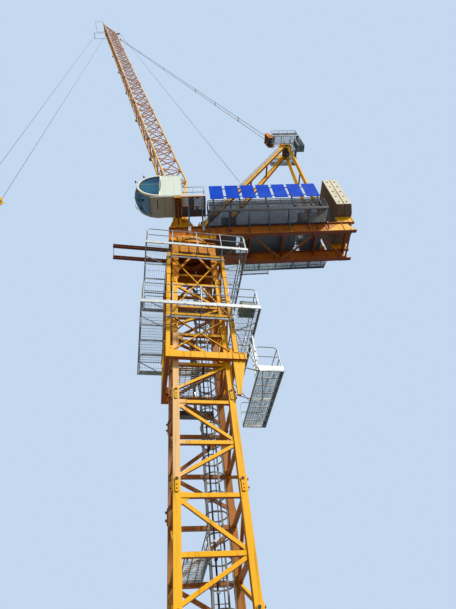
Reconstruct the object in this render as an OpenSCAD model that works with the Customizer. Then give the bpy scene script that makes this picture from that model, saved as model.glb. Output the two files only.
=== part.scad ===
// Luffing-jib tower crane, 1:10 scale model, in millimetres.
// The mast stands on the origin with its front face towards -Y. Z is up.
// Upper works are turned about the mast axis and drawn along their own X axis:
// +X points along the counter-jib, -X towards the jib.

/* [Mast] */
// width over the mast legs
mast_w = 200; // [190:5:210]
// side of a square mast leg
leg_w = 20; // [16:1:22]
// height of one mast section
sec_h = 310; // [300:5:320]
// height of the bottom section above the base frame
foot_h = 176; // [170:2:184]
// depth of the horizontal mast braces
brace_h = 12; // [9:1:14]
// side of the diagonal mast braces
diag_w = 10; // [8:1:11]
// drop from the section joint to the top brace
brace_drop = 30; // [26:1:36]
// distance between the top brace and the middle brace
brace_gap = 148; // [140:2:156]

/* [Base frame] */
// width over the base frame beams
base_w = 300; // [280:5:340]
// height of the base frame beams
base_h = 24; // [20:1:28]
// width of the base frame beams
base_beam_w = 40; // [34:1:46]
// diameter of the anchor bolt holes
anchor_d = 7; // [5:0.5:9]

/* [Climbing frame] */
// width over the climbing frame legs
cage_w = 252; // [246:2:258]
// side of a climbing frame leg
cage_leg = 15; // [12:1:17]
// underside of the bottom beam
cage_z0 = 1260; // [1250:5:1270]
// top of the frame
cage_z1 = 1905; // [1890:5:1920]
// depth of the bottom beam
cage_beam_h = 28; // [24:1:32]
// side of the cross bracing
cage_brace = 7; // [5:0.5:9]
// length of the loading rails from the mast axis
rail_reach = 365; // [340:5:380]
// diameter of the jacking ram
ram_d = 22; // [18:1:24]

/* [Platforms] */
// level of the upper platform
upper_z = 1872; // [1865:1:1880]
// level of the main platform
main_z = 1467; // [1460:1:1475]
// level of the side platform
side_z = 1250; // [1240:1:1255]
// outer edge of the platforms from the mast axis, in front
plat_y = 192; // [185:1:200]
// outer edge of the platforms from the mast axis, at the sides
plat_x = 222; // [215:1:230]
// height of the platform railings
guard_h = 110; // [100:5:120]
// diameter of the railing tubes
guard_d = 4; // [3:0.5:5]

/* [Upper works] */
// angle of the upper works about the mast axis at rest
slew_rest = -8; // [-180:1:180]
// level of the slewing ring
ring_z = 2070; // [2066:1:2074]
// underside of the counter-jib beams
cj_z = 2125; // [2122:1:2128]
// depth of the counter-jib beams
cj_h = 85; // [75:5:90]
// width over the counter-jib beams
cj_w = 184; // [176:2:190]
// reach of the counter-jib beams behind the mast axis
cj_reach = 814; // [790:2:830]
// reach of the turntable in front of the mast axis
cj_front = 105; // [95:5:115]

/* [Counterweight] */
// thickness of one slab
slab_t = 40; // [30:1:46]
// width over a slab's shoulders
slab_w = 300; // [280:5:320]
// top of the slabs
slab_top = 2595; // [2560:5:2620]

/* [A-frame] */
// distance of the head sheave axle behind the mast axis
head_x = 740; // [730:5:750]
// height of the head sheave axle
head_z = 3430; // [3420:5:3440]
// diameter of the head sheaves
head_sheave_d = 60; // [50:2:64]
// side of the front leg boxes
front_leg = 26; // [22:1:30]
// side of the rear leg boxes
rear_leg = 20; // [16:1:24]

/* [Cab] */
// length of the cab
cab_l = 230; // [215:5:240]
// width of the cab
cab_w = 122; // [110:2:124]
// height of the cab
cab_h = 250; // [235:5:260]
// level of the cab floor
cab_z = 2322; // [2315:1:2330]
// thickness of the cab walls
cab_t = 5; // [4:0.5:7]
// half angle of the curved front glass
glass_a = 62; // [50:1:66]
// rear edge of the side windows from the rear of the cab
window_x = 114; // [100:2:124]
// width of the frame round a side window
frame_w = 13; // [10:1:18]

/* [Sign panels] */
// number of panels on the near railing
sign_n = 7; // [5:1:7]
// width of a panel
sign_w = 70; // [50:2:74]
// height of a panel
sign_h = 150; // [120:5:160]

/* [Jib] */
// elevation of the jib at rest
jib_angle = 80.2; // [79:0.1:81]
// height of the jib pivot
pivot_z = 2380; // [2375:1:2385]
// distance of the jib pivot in front of the mast axis
pivot_x = 50; // [45:1:55]
// distance between the two lower chords
chord_y = 140; // [130:2:144]
// height of the upper chord over the lower chords
chord_z = 145; // [135:1:150]
// diameter of the chords
chord_d = 13; // [10:0.5:14]
// diameter of the jib lacing bars
lace_d = 7; // [5:0.5:8]
// length of the jib from the pivot to its tip
jib_l = 6850; // [6830:5:6870]
// length of the head section
head_l = 1000; // [980:5:1020]
// distance of the head sheave axle past the last joint
axle_in = 140; // [130:2:150]
// reach of the hoop in front of the tip
hoop_l = 127; // [100:1:140]
// diameter of the jib pivot pins
pivot_pin_d = 12; // [10:0.5:13]
// gap between parts that move past each other
run_gap = 0.3; // [0.25:0.05:0.4]
// radial clearance of the hinge pins
pin_gap = 0.1; // [0.05:0.01:0.1]

/* [Ropes and hook] */
// diameter of the hoist rope
rope_d = 2.4; // [2:0.1:3]
// diameter of the jib head sheave
tip_sheave_d = 60; // [56:1:64]
// diameter of the guide sheave on the upper chord
guide_d = 44; // [40:1:48]
// diameter of the hoist drum
drum_d = 56; // [48:1:60]
// distance between the two rope falls
fall_gap = 160; // [156:1:164]
// level of the hook block axle
block_z = 2760; // [2700:5:2800]
// diameter of the pendant bars
pendant_d = 4.5; // [4:0.5:6]

/* [Hidden] */
leg_c = mast_w / 2 - leg_w / 2;
cage_c = cage_w / 2 - cage_leg / 2;
mast_top = base_h + foot_h + 5 * sec_h;
cj_y = cj_w / 2;
cj_top = cj_z + cj_h;
ram_top = cage_z0 + 330;
nose_r = cab_h / 2;
nose_x = cab_l - nose_r;
deck_t = 5;
deck_z = cj_top + deck_t;
slab_seat = slab_top - 330;
pitch_y = chord_y / 2;
joint_in = lace_d / 2 + 2.5;
foot_panels = 6;
sec_panels = 5;
foot_in = 84;
panel = (jib_l - head_l - foot_in) / (foot_panels + 5 * sec_panels);
foot_l = foot_in + foot_panels * panel;
sec_l = sec_panels * panel;
head_s = foot_l + 5 * sec_l;
pend_s = head_s - 200;
tip_r = tip_sheave_d / 2;
axle_s = head_s + axle_in;
knee_s = head_s + 0.45 * head_l;
rail_s = jib_l - chord_d / 2;
head_panels = 5;
cheek_y = 46;
hub_y = 37;
tip_x = -pivot_x - axle_s * cos(jib_angle);
tip_z = pivot_z + axle_s * sin(jib_angle);
pend_z = chord_z + 22;
pend_x = -pivot_x - pend_s * cos(jib_angle) + pend_z * sin(jib_angle);
pend_h = pivot_z + pend_s * sin(jib_angle) + pend_z * cos(jib_angle);
pend_l = norm([head_x - pend_x, pend_h - head_z]);
pend_angle = atan2(pend_h - head_z, head_x - pend_x);
block_s = pend_l - 310;
hoist_x = cj_reach - 314;
rear_x = cj_reach - 108;
winch_z = deck_z + 46;
rope_y = 22;
guide_s = axle_s + tip_r - guide_d / 2;
guide_z = chord_z + guide_d / 2 + 2;
guide_x = -pivot_x - guide_s * cos(jib_angle) + guide_z * sin(jib_angle);
guide_h = pivot_z + guide_s * sin(jib_angle) + guide_z * cos(jib_angle);
guide_rope = guide_d / 2 - 3 + rope_d / 2 + run_gap;
drum_rope = drum_d / 2 + rope_d / 2 + run_gap;
fall_x = tip_x - tip_r + 3 - rope_d / 2 - run_gap;
cab_y1 = -88;
cab_x1 = -36;

mast_yellow = [0.95, 0.68, 0.08];
faded_yellow = [0.86, 0.63, 0.36];
shade_brown = [0.5, 0.28, 0.12];
galvanised = [0.72, 0.75, 0.76];
dark_steel = [0.2, 0.21, 0.22];
cream = [0.9, 0.88, 0.8];
concrete = [0.82, 0.8, 0.72];
blue = [0.05, 0.2, 0.75];

// shared shapes

// round bar with few sides between two points
module bar(a, b, d, sides = 6) {
    v = b - a;
    translate(a)
        rotate([0, acos(v[2] / norm(v)), atan2(v[1], v[0])])
            cylinder(h = norm(v), d = d, $fn = sides);
}

// square bar between two points
module box_bar(a, b, w, h) {
    v = b - a;
    translate(a)
        rotate([0, acos(v[2] / norm(v)), atan2(v[1], v[0])])
            translate([-h / 2, -w / 2, 0]) cube([h, w, norm(v)]);
}

// block given by its two corners
module block(a, b) {
    translate(a) cube(b - a);
}

// disc or roller across the Y axis
module roller(x, y0, y1, z, d) {
    translate([x, y1, z]) rotate([90, 0, 0]) cylinder(h = y1 - y0, d = d, $fn = 48);
}

// straight railing: posts, two rails and a toe board from a to b
module guard(a, b, posts, h = guard_h) {
    up = [0, 0, 1];
    for (i = [0:posts]) {
        p = a + (b - a) * i / posts;
        bar(p - up, p + up * h, guard_d);
    }
    for (k = [0.55, 1]) bar(a + up * h * k, b + up * h * k, guard_d, 8);
    box_bar(a + up * 5, b + up * 5, 2, 12);
}

// plain ladder between two points, rungs along side vector s
module ladder(a, b, s, rungs) {
    box_bar(a - s, b - s, 3, 5);
    box_bar(a + s, b + s, 3, 5);
    for (i = [1:rungs]) {
        p = a + (b - a) * (i - 0.5) / rungs;
        bar(p - s, p + s, 2.4);
    }
}

// turns the upper works to their rest angle
module slewed() {
    rotate([0, 0, slew_rest]) children();
}

// jib frame: X along the jib, Z towards the A-frame, origin on the pivot
module jib_frame() {
    slewed() translate([-pivot_x, 0, pivot_z])
        rotate([0, jib_angle, 0]) rotate([0, 0, 180]) children();
}

// pendant frame: X from the jib lug towards the A-frame head
module pendant_frame() {
    slewed() translate([pend_x, 0, pend_h]) rotate([0, pend_angle, 0]) children();
}

// mast

module mast_face(h) {
    zt = h - brace_drop;
    zm = max(zt - brace_gap, 16);
    w = leg_c;
    block([-w, -brace_h / 2, zt - brace_h], [w, brace_h / 2 - 2, zt]);
    block([-w, -brace_h / 2, zm - brace_h], [w, brace_h / 2 - 2, zm]);
    box_bar([-w, -0.5, zt - 10], [w, -0.5, zm - 4], diag_w - 2, diag_w);
    if (zm > 60) box_bar([w, -0.5, zm - 8], [-w, -0.5, 18], diag_w - 2, diag_w);
    // gusset at the left leg and long gusset at the right leg
    translate([0, -1, 0]) rotate([90, 0, 0]) linear_extrude(3) {
        polygon([[-w, zt + 4], [-w + 34, zt + 4], [-w + 34, zt - 13], [-w, zt - 40]]);
        polygon([[w, zm + 26], [w - 18, zm + 6], [w - 18, zm - 15], [w, zm - 15]]);
    }
}

module mast_frame(h) {
    for (k = [0:3]) rotate([0, 0, 90 * k]) {
        translate([-mast_w / 2, -mast_w / 2, 0]) cube([leg_w, leg_w, h]);
        translate([0, -leg_c, 0]) mast_face(h);
    }
    // fish-plates on the outer leg faces, with pin heads
    for (sx = [0, 1]) mirror([sx, 0, 0]) for (sy = [-1, 1]) {
        block([mast_w / 2 - 1, sy * leg_c - 7, h - 24], [mast_w / 2 + 3, sy * leg_c + 7, h - 1]);
        block([mast_w / 2 + 0.1, sy * leg_c - 7, h - 2], [mast_w / 2 + 3, sy * leg_c + 7, h + 22]);
        for (dz = [-12, 12]) translate([mast_w / 2 + 2, sy * leg_c, h + dz])
            rotate([0, 90, 0]) cylinder(h = 4, d = 8, $fn = 24);
    }
}

module base_frame() color(mast_yellow) difference() {
    union() {
        difference() {
            block([-base_w / 2, -base_w / 2, 0], [base_w / 2, base_w / 2, base_h]);
            block([-base_w / 2 + base_beam_w, -base_w / 2 + base_beam_w, -1],
                [base_w / 2 - base_beam_w, base_w / 2 - base_beam_w, base_h + 1]);
        }
        for (k = [0:3]) rotate([0, 0, 90 * k]) {
            block([-base_w / 2 - 22, -base_w / 2 - 22, 0], [-base_w / 2 + 62, -base_w / 2 + 62, 6]);
            block([-leg_c - 14, -leg_c - 30, base_h - 6], [-leg_c + 14, -leg_c + 14, base_h]);
        }
    }
    for (k = [0:3]) rotate([0, 0, 90 * k])
        for (p = [[-base_w / 2 - 11, -base_w / 2 + 36], [-base_w / 2 + 36, -base_w / 2 - 11]])
            translate([p[0], p[1], -1]) cylinder(h = 8, d = anchor_d, $fn = 32);
}

module mast_base_section() color(mast_yellow) translate([0, 0, base_h]) mast_frame(foot_h);
module mast_section(i, c) color(c) translate([0, 0, base_h + foot_h + (i - 1) * sec_h]) mast_frame(sec_h);
module mast_section_1() mast_section(1, mast_yellow);
module mast_section_2() mast_section(2, mast_yellow);
module mast_section_3() mast_section(3, faded_yellow);
module mast_section_4() mast_section(4, faded_yellow);
module mast_section_5() mast_section(5, mast_yellow);

module mast_ladder() color(galvanised) {
    x = 34;
    y = 62;
    z0 = base_h + 8;
    z1 = mast_top + 120;
    ladder([x, y, z0], [x, y, z1], [20, 0, 0], 62);
    // hooped safety cage, open rails joined by hoops
    for (z = [z0 + 220:60:z1 - 20]) translate([x, y - 22, z]) difference() {
        cylinder(h = 3, r = 33, $fn = 24);
        translate([0, 0, -1]) cylinder(h = 5, r = 30.5, $fn = 24);
    }
    for (a = [200, 270, 340]) translate([x + 31.7 * cos(a), y - 22 + 31.7 * sin(a), z0 + 215])
        cylinder(h = z1 - z0 - 215, d = 3, $fn = 6);
    for (i = [1:5]) for (dx = [-20, 20]) {
        z = base_h + foot_h + i * sec_h - brace_drop - brace_h / 2;
        bar([x + dx, y, z], [x + dx, leg_c - brace_h / 2 + 2, z], 3);
    }
}

module rest_platforms() color(galvanised) for (i = [1, 3]) {
    z = base_h + foot_h + i * sec_h + sec_h - brace_drop - brace_gap;
    block([-70, -leg_c + 2, z], [-8, leg_c - 2, z + 3]);
    guard([-11, -leg_c + 14, z + 3], [-11, leg_c - 14, z + 3], 2, 60);
}

module power_cable() color(dark_steel) {
    translate([10, -40, 150]) cylinder(h = mast_top + 40, d = 5, $fn = 12);
    for (i = [0:4]) {
        z = base_h + foot_h + i * sec_h + sec_h - brace_drop - brace_gap;
        block([6, -leg_c - 2, z], [14, -40, z + 5]);
    }
}

// climbing frame

module cage_face(z0, z1) {
    c = cage_c;
    hm = (z0 + z1) / 2;
    block([-c, -5, z1 - 12], [c, 5, z1]);
    block([-c, -4, hm - 5], [c, 4, hm + 5]);
    for (p = [[z0 + 6, hm], [hm, z1 - 6]]) {
        bar([-c, 0, p[0]], [c, 0, p[1]], cage_brace);
        bar([c, 0, p[0]], [-c, 0, p[1]], cage_brace);
    }
}

module climbing_frame() color(mast_yellow) {
    hz = cage_z0 + cage_beam_h;
    for (sx = [-1, 1]) for (sy = [-1, 1])
        translate([sx * cage_c - cage_leg / 2, sy * cage_c - cage_leg / 2, cage_z0])
            cube([cage_leg, cage_leg, cage_z1 - cage_z0]);
    for (k = [1, 3]) rotate([0, 0, 90 * k]) translate([0, -cage_c, 0]) cage_face(hz, cage_z1);
    translate([0, -cage_c, 0]) {
        block([-cage_c, -5, cage_z1 - 12], [cage_c, 5, cage_z1]);
        block([-cage_c, -4, main_z + 16], [cage_c, 4, main_z + 28]);
        bar([-cage_c, 0, hz - 4], [cage_c, 0, main_z + 20], cage_brace);
        bar([cage_c, 0, hz - 4], [-cage_c, 0, main_z + 20], cage_brace);
        bar([-cage_c, 0, main_z + 22], [cage_c, 0, cage_z1 - 6], cage_brace);
        bar([cage_c, 0, main_z + 22], [-cage_c, 0, cage_z1 - 6], cage_brace);
    }
    // rear side, open below its middle beam for the jacking ram
    translate([0, cage_c, 0]) {
        block([-cage_c, -5, cage_z1 - 12], [cage_c, 5, cage_z1]);
        block([-cage_c, -4, ram_top], [cage_c, 4, ram_top + 12]);
        bar([-cage_c, 0, ram_top + 6], [cage_c, 0, cage_z1 - 6], cage_brace);
        bar([cage_c, 0, ram_top + 6], [-cage_c, 0, cage_z1 - 6], cage_brace);
    }
    // bottom beams, the front one reaches past the leg on the right
    block([-cage_w / 2, -cage_w / 2, cage_z0], [154, -cage_w / 2 + 16, hz]);
    difference() {
        block([-cage_w / 2, cage_w / 2 - 16, cage_z0], [cage_w / 2, cage_w / 2, hz]);
        translate([0, cage_c, cage_z0 - 1]) cylinder(h = cage_beam_h + 2, d = 14, $fn = 32);
    }
    block([-cage_w / 2, -cage_w / 2, cage_z0], [-cage_w / 2 + 15, cage_w / 2, hz]);
    block([cage_w / 2 - 15, -cage_w / 2, cage_z0], [cage_w / 2, cage_w / 2, hz]);
    // tapered jacking plate under the right corner
    translate([0, -cage_w / 2 + 16, 0]) rotate([90, 0, 0]) linear_extrude(8)
        polygon([[106, cage_z0 + 4], [150, cage_z0 + 4], [118, cage_z0 - 150], [106, cage_z0 - 150]]);
    guide_x = mast_w / 2 + run_gap;
    // guide roller boxes at the four corners, top and bottom
    for (z = [cage_z0 + 30, cage_z1 - 46]) for (sx = [-1, 1]) for (sy = [-1, 1])
        block([min(sx * guide_x, sx * 118), min(sy * guide_x, sy * 118), z],
            [max(sx * guide_x, sx * 118), max(sy * guide_x, sy * 118), z + 30]);
}

module loading_rails() color(shade_brown) {
    z = cage_z1 + 47;
    x1 = -mast_w / 2 - run_gap;
    for (y = [-100, -40]) {
        block([-rail_reach, y - 6, z], [x1, y + 6, z + 3]);
        block([-rail_reach, y - 1.5, z + 2], [x1, y + 1.5, z + 15]);
        block([-rail_reach, y - 6, z + 14], [x1, y + 6, z + 17]);
        block([-cage_w / 2 + 3, y - 4, cage_z1], [-cage_w / 2 + 12, y + 4, z + 1]);
    }
    block([-rail_reach, -101, z + 3], [-rail_reach + 5, -39, z + 8]);
}

module jacking_ram() color(dark_steel) {
    y = cage_c;
    translate([0, y, cage_z0 + 90]) cylinder(h = ram_top - cage_z0 - 90, d = ram_d, $fn = 32);
    translate([0, y, cage_z0 - 50]) cylinder(h = 150, d = 12, $fn = 32);
    block([-60, mast_w / 2 + 0.3, cage_z0 - 68], [60, y + 7, cage_z0 - 48]);
}

// grating deck with an edge channel
module deck_plate(a, b, t = 3) {
    block([a[0], a[1], a[2]], [b[0], b[1], a[2] + t]);
    block([a[0], a[1], a[2] - 5], [a[0] + 3, b[1], a[2] + 1]);
    block([b[0] - 3, a[1], a[2] - 5], [b[0], b[1], a[2] + 1]);
    block([a[0], a[1], a[2] - 5], [b[0], a[1] + 3, a[2] + 1]);
    block([a[0], b[1] - 3, a[2] - 5], [b[0], b[1], a[2] + 1]);
}

module ring_platform(z) {
    i = cage_w / 2;
    px = plat_x;
    py = plat_y;
    deck_plate([-px, -py, z], [px, -i, z]);
    deck_plate([-px, i, z], [px, py, z]);
    deck_plate([-px, -i - 1, z], [-i, i + 1, z]);
    deck_plate([i, -i - 1, z], [px, i + 1, z]);
    guard([-px + 3, -py + 3, z + 3], [px - 3, -py + 3, z + 3], 5);
    guard([-px + 3, py - 3, z + 3], [px - 3, py - 3, z + 3], 5);
    guard([-px + 3, -py + 3, z + 3], [-px + 3, py - 3, z + 3], 3);
    guard([px - 3, -py + 3, z + 3], [px - 3, py - 3, z + 3], 3);
    for (sx = [-1, 1]) for (sy = [-1, 1])
        bar([sx * (i + 2.6), sy * (i - 6), z - 60], [sx * (px - 4), sy * (i - 6), z - 2], 4);
}

module upper_platform() color(galvanised) ring_platform(upper_z);
module main_platform() color(galvanised) difference() {
    ring_platform(main_z);
    // notch round the jacking ram
    block([-ram_d / 2 - 3, cage_c, main_z - 8], [ram_d / 2 + 3, cage_c + ram_d / 2 + 3, main_z + 6]);
}

module side_platform() color(galvanised) {
    x0 = 200;
    x1 = 292;
    deck_plate([x0, -92, side_z], [x1, 232, side_z]);
    guard([x1 - 3, -89, side_z + 3], [x1 - 3, 229, side_z + 3], 4);
    guard([x0 + 3, -89, side_z + 3], [x1 - 3, -89, side_z + 3], 1);
    guard([x0 + 3, 229, side_z + 3], [x1 - 3, 229, side_z + 3], 1);
    for (y = [-80, 70]) bar([cage_w / 2 + 1.1, y, cage_z0 + 14], [x0 + 2, y, side_z], 5);
    for (s = [-1, 1])
        bar([cage_w / 2 + 2, s * cage_c, cage_z0 + 138], [x0 + 2, s * 86, side_z + 1], 4);
}

module hydraulic_unit() color([0.45, 0.5, 0.5]) {
    z = main_z + 3;
    block([150, -180, z], [206, -132, z + 44]);
    block([158, -172, z + 43], [198, -140, z + 60]);
}

module platform_ladders() color(galvanised) {
    ladder([200, -60, side_z + 3.4], [206, -60, main_z - 6], [0, 18, 0], 9);
    ladder([180, 60, main_z + 3], [180, 60, upper_z - 6], [0, 18, 0], 17);
    for (z = [main_z + 230:40:upper_z - 20]) {
        block([136, 36, z], [139, 84, z + 3]);
        block([136, 36, z], [182, 41, z + 3]);
        block([136, 79, z], [182, 84, z + 3]);
    }
    block([136, 57, main_z + 230], [139, 63, upper_z - 10]);
}

// slewing support

module slew_support() color(shade_brown) {
    w = mast_w / 2;
    z0 = mast_top;
    z1 = ring_z - 20;
    for (k = [0:3]) rotate([0, 0, 90 * k]) {
        translate([-w, -w, z0]) cube([26, 26, z1 - z0]);
        block([-w, -w, z1 - 90], [w, -w + 5, z1]);
        box_bar([-w + 10, -w + 8, z0 + 40], [0, -w + 8, z1 - 92], 8, 10);
        box_bar([w - 10, -w + 8, z0 + 40], [0, -w + 8, z1 - 92], 8, 10);
        block([-w, -w + 2, z0 + 20], [w, -w + 12, z0 + 34]);
    }
    difference() {
        block([-w, -w, z1 - 6], [w, w, z1]);
        translate([0, 0, z1 - 8]) cylinder(h = 12, d = 120, $fn = 48);
    }
    difference() {
        translate([0, 0, z1 - 1]) cylinder(h = ring_z - z1 + 1, d = 206, $fn = 96);
        translate([0, 0, z1 - 8]) cylinder(h = 40, d = 150, $fn = 64);
    }
}

module turntable() color(shade_brown) slewed() {
    z0 = ring_z + 3;
    difference() {
        union() {
            translate([0, 0, z0]) cylinder(h = 22, d = 214, $fn = 96);
            block([-cj_front, -cj_y, z0 + 16], [125, cj_y, cj_z]);
            block([-cj_front, -60, cj_z - 1], [60, 60, cj_top + 1]);
            block([-cj_front, -cj_y, cj_top], [32, cj_y, cj_top + 7]);
        }
        translate([0, 0, z0 - 1]) cylinder(h = 23, d = 150, $fn = 64);
        translate([0, 0, z0 + 20]) cylinder(h = 40, d = 100, $fn = 64);
        block([-cj_front + 8, -52, cj_z], [52, 52, cj_top]);
    }
    // bearing spigot that runs in the ring
    difference() {
        translate([0, 0, ring_z - 16]) cylinder(h = 22, d = 150 - 2 * run_gap, $fn = 96);
        translate([0, 0, ring_z - 17]) cylinder(h = 40, d = 130, $fn = 64);
    }
    difference() {
        translate([0, 0, z0 + 1]) cylinder(h = 15, d = 160, $fn = 96);
        translate([0, 0, z0 - 1]) cylinder(h = 40, d = 130, $fn = 64);
    }
    // bracket under the rear of the cab
    block([cab_x1 - 34, cab_y1 - cab_w + 2, cab_z - 18], [cab_x1 - 2, 6 - cj_y, cab_z - run_gap]);
    block([cab_x1 - 34, -cj_y - 2, cj_top + 6], [cab_x1 - 2, 6 - cj_y, cab_z - 17]);
    box_bar([cab_x1 - 18, -cj_y, cj_top + 24], [cab_x1 - 18, cab_y1 - cab_w + 30, cab_z - 15], 8, 8);
    // jib foot brackets
    for (s = [-1, 1]) {
        y = s * pitch_y;
        difference() {
            for (d = [-10, 10])
                translate([0, y + d + 2.5, 0]) rotate([90, 0, 0]) linear_extrude(5)
                    polygon([[-cj_front, cj_top + 5], [28, cj_top + 5], [-pivot_x + 16, pivot_z + 6],
                        [-pivot_x + 8, pivot_z + 14], [-pivot_x - 8, pivot_z + 14],
                        [-pivot_x - 16, pivot_z + 6]]);
            roller(-pivot_x, y - 20, y + 20, pivot_z, pivot_pin_d - 1);
        }
        roller(-pivot_x, y - 12.2, y + 12.2, pivot_z, pivot_pin_d - 2 * pin_gap);
        roller(-pivot_x, y - 15, y - 12, pivot_z, pivot_pin_d + 4);
        roller(-pivot_x, y + 12, y + 15, pivot_z, pivot_pin_d + 4);
        block([-90, y - 11, cj_top + 5], [-84, y + 11, cj_top + 60]);
        block([8, y - 11, cj_top + 5], [14, y + 11, cj_top + 20]);
    }
}

module slew_drives() color(mast_yellow) slewed() for (p = [[96, 52], [96, -52]]) {
    translate([p[0], p[1], cj_z]) cylinder(h = 78, d = 24, $fn = 32);
    translate([p[0], p[1], cj_z + 76]) cylinder(h = 34, d = 17, $fn = 32);
}

// counter-jib

module counter_jib() color(shade_brown) slewed() {
    for (s = [-1, 1]) {
        y = s * (cj_y - 9);
        block([-cj_front, y - 9, cj_z], [cj_reach + 26, y + 9, cj_z + 4]);
        block([-cj_front, y - 2, cj_z + 3], [cj_reach, y + 2, cj_top - 3]);
        block([-cj_front, y - 9, cj_top - 4], [cj_reach, y + 9, cj_top]);
        // slanted plate on the beam end
        translate([0, s > 0 ? y + 5 : y - 2, 0]) rotate([90, 0, 0]) linear_extrude(3)
            polygon([[cj_reach - 96, cj_z + 1], [cj_reach + 26, cj_z + 1], [cj_reach - 4, cj_z + 46],
                [cj_reach - 30, cj_z + 46]]);
        // seat under the counterweight shoulders
        block([cj_reach - 50, y - 7, cj_top - 1], [cj_reach + 40, y + 7, slab_seat]);
    }
    for (x = [for (i = [0:3]) 130 + (cj_reach - 130) * i / 4])
        block([x, -cj_y + 8, cj_top - 40], [x + 8, cj_y - 8, cj_top - 8]);
    block([cj_reach - 6, -cj_y + 2, cj_z + 3], [cj_reach, cj_y - 2, cj_z + 13]);
}

module counter_jib_lacing() color(shade_brown) slewed() {
    z = cj_z + 4;
    y = cj_y - 16;
    x0 = 138;
    xs = [for (i = [0:4]) x0 + (cj_reach - 14 - x0) * i / 4];
    for (i = [0:3]) {
        s = i % 2 == 0 ? 1 : -1;
        box_bar([xs[i], s * y, z + 4], [xs[i + 1], -s * y, z + 4], 8, i % 2 == 0 ? 8 : 7);
    }
    block([x0 - 3, -y - 3, z + 0.3], [x0 + 3, y - 5, z + 7]);
}

module machinery_deck() color(dark_steel) slewed() {
    block([125, -cj_y, cj_top], [cj_reach - 124, cj_y, deck_z]);
    block([32, -cj_y, cj_top], [126, -66, deck_z]);
    block([32, 66, cj_top], [126, cj_y, deck_z]);
}

// walkway along one side of the counter-jib
module walkway(y0, y1, x0, x1, posts) {
    ya = min(y0, y1);
    yb = max(y0, y1);
    deck_plate([x0, ya, cj_top - 3], [x1, yb, cj_top - 3]);
    guard([x0 + 3, y1, cj_top], [x1 - 3, y1, cj_top], posts);
    n = ceil((x1 - x0) / 110);
    for (i = [0:n]) {
        x = x0 + 3 + (x1 - x0 - 6) * i / n;
        bar([x, sign(y0) * (cj_y - 5.6), cj_z + 30], [x, y1, cj_top - 6], 4);
    }
}

module near_walkway() color(dark_steel) slewed() {
    walkway(-cj_y, -178, 92, cj_reach - 109, 8);
    guard([95, -178, cj_top], [95, -cj_y - 36, cj_top], 1);
}

module far_walkway() color(galvanised) slewed() {
    walkway(cj_y, 190, 270, cj_reach - 84, 6);
    deck_plate([262, 189, cj_top - 3], [420, 214, cj_top - 3]);
}

module winch(x, across, drum_w, z) {
    r = across / 2;
    for (s = [-1, 1]) {
        block([x - r - 8, s * (drum_w / 2 + 5) - 3, deck_z], [x + r + 8, s * (drum_w / 2 + 5) + 3, z]);
        roller(x, s * (drum_w / 2 + 5) - 3, s * (drum_w / 2 + 5) + 3, z, across * 0.8);
        roller(x, s * drum_w / 2 - 2, s * drum_w / 2 + 2, z, across + 14);
    }
    roller(x, -drum_w / 2, drum_w / 2, z, across);
    block([x - r - 12, -drum_w / 2 - 8, deck_z], [x + r + 12, drum_w / 2 + 8, deck_z + 5]);
    roller(x, drum_w / 2 + 6, drum_w / 2 + 26, z, across * 0.55);
}

module hoist_winch() color(dark_steel) slewed() winch(hoist_x, drum_d, 80, winch_z);
module luffing_winch() color(dark_steel) slewed() winch(300, 48, 70, deck_z + 42);

module electrical_cabinets() color([0.62, 0.66, 0.68]) slewed() {
    for (y = [-84, 30])
        block([rear_x - 121, y, deck_z], [rear_x - 26, y + 54, deck_z + 120]);
    block([170, -86, deck_z], [240, -50, deck_z + 90]);
}

module counterweights() color(concrete) slewed() {
    zs = slab_seat;
    for (i = [0:1]) {
        x = cj_reach - 42 + i * (slab_t + 2);
        translate([x, 0, 0]) rotate([90, 0, 90]) linear_extrude(slab_t) polygon([
            [-slab_w / 2, slab_top], [-slab_w / 2, zs + 30], [-slab_w / 2 + 40, zs],
            [slab_w / 2 - 40, zs], [slab_w / 2, zs + 30], [slab_w / 2, slab_top]]);
    }
    block([cj_reach - 42, -60, zs - 30], [cj_reach + slab_t, 60, zs + 6]);
}

// plain panels on two rails, carried by posts on the near railing
module sign_board() color(blue) slewed() {
    y = -178 - guard_d / 2;
    z = cj_top + guard_h + 2;
    x0 = 112;
    pitch = sign_w + 14;
    x1 = x0 + (sign_n - 1) * pitch + sign_w;
    for (i = [0:sign_n - 1]) {
        x = x0 + i * pitch;
        block([x, y - 8, z], [x + sign_w, y - 4.5, z + sign_h]);
    }
    for (k = [0.2, 0.8]) block([x0, y - 5, z + k * sign_h - 2], [x1, y - 1, z + k * sign_h + 2]);
    for (i = [0:4]) {
        x = x0 + 12 + (x1 - x0 - 29) * i / 4;
        block([x, y - 5, cj_top + 20], [x + 5, y, z + 0.8 * sign_h + 2]);
    }
}

// A-frame

function leg_foot(s) = [62, s * 76, deck_z + 14];
function leg_head(s) = [head_x - 30, s * 44, head_z - 20];

module a_frame_front() color(mast_yellow) slewed() {
    for (s = [-1, 1]) {
        box_bar(leg_foot(s), leg_head(s), front_leg - 8, front_leg);
        block([42, s * 76 - 13, deck_z], [84, s * 76 + 13, deck_z + 24]);
        difference() {
            translate([0, s * 44 + 3, 0]) rotate([90, 0, 0]) linear_extrude(6)
                polygon([[head_x - 62, head_z - 40], [head_x + 30, head_z - 40],
                    [head_x + 30, head_z + 44], [head_x - 10, head_z + 56], [head_x - 58, head_z + 44]]);
            roller(head_x, -50, 50, head_z, 12);
        }
    }
    for (t = [0.28, 0.52, 0.74]) {
        p = leg_foot(1) + (leg_head(1) - leg_foot(1)) * t;
        bar([p[0], -p[1], p[2]], [p[0], p[1], p[2]], 12);
    }
}

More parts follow.
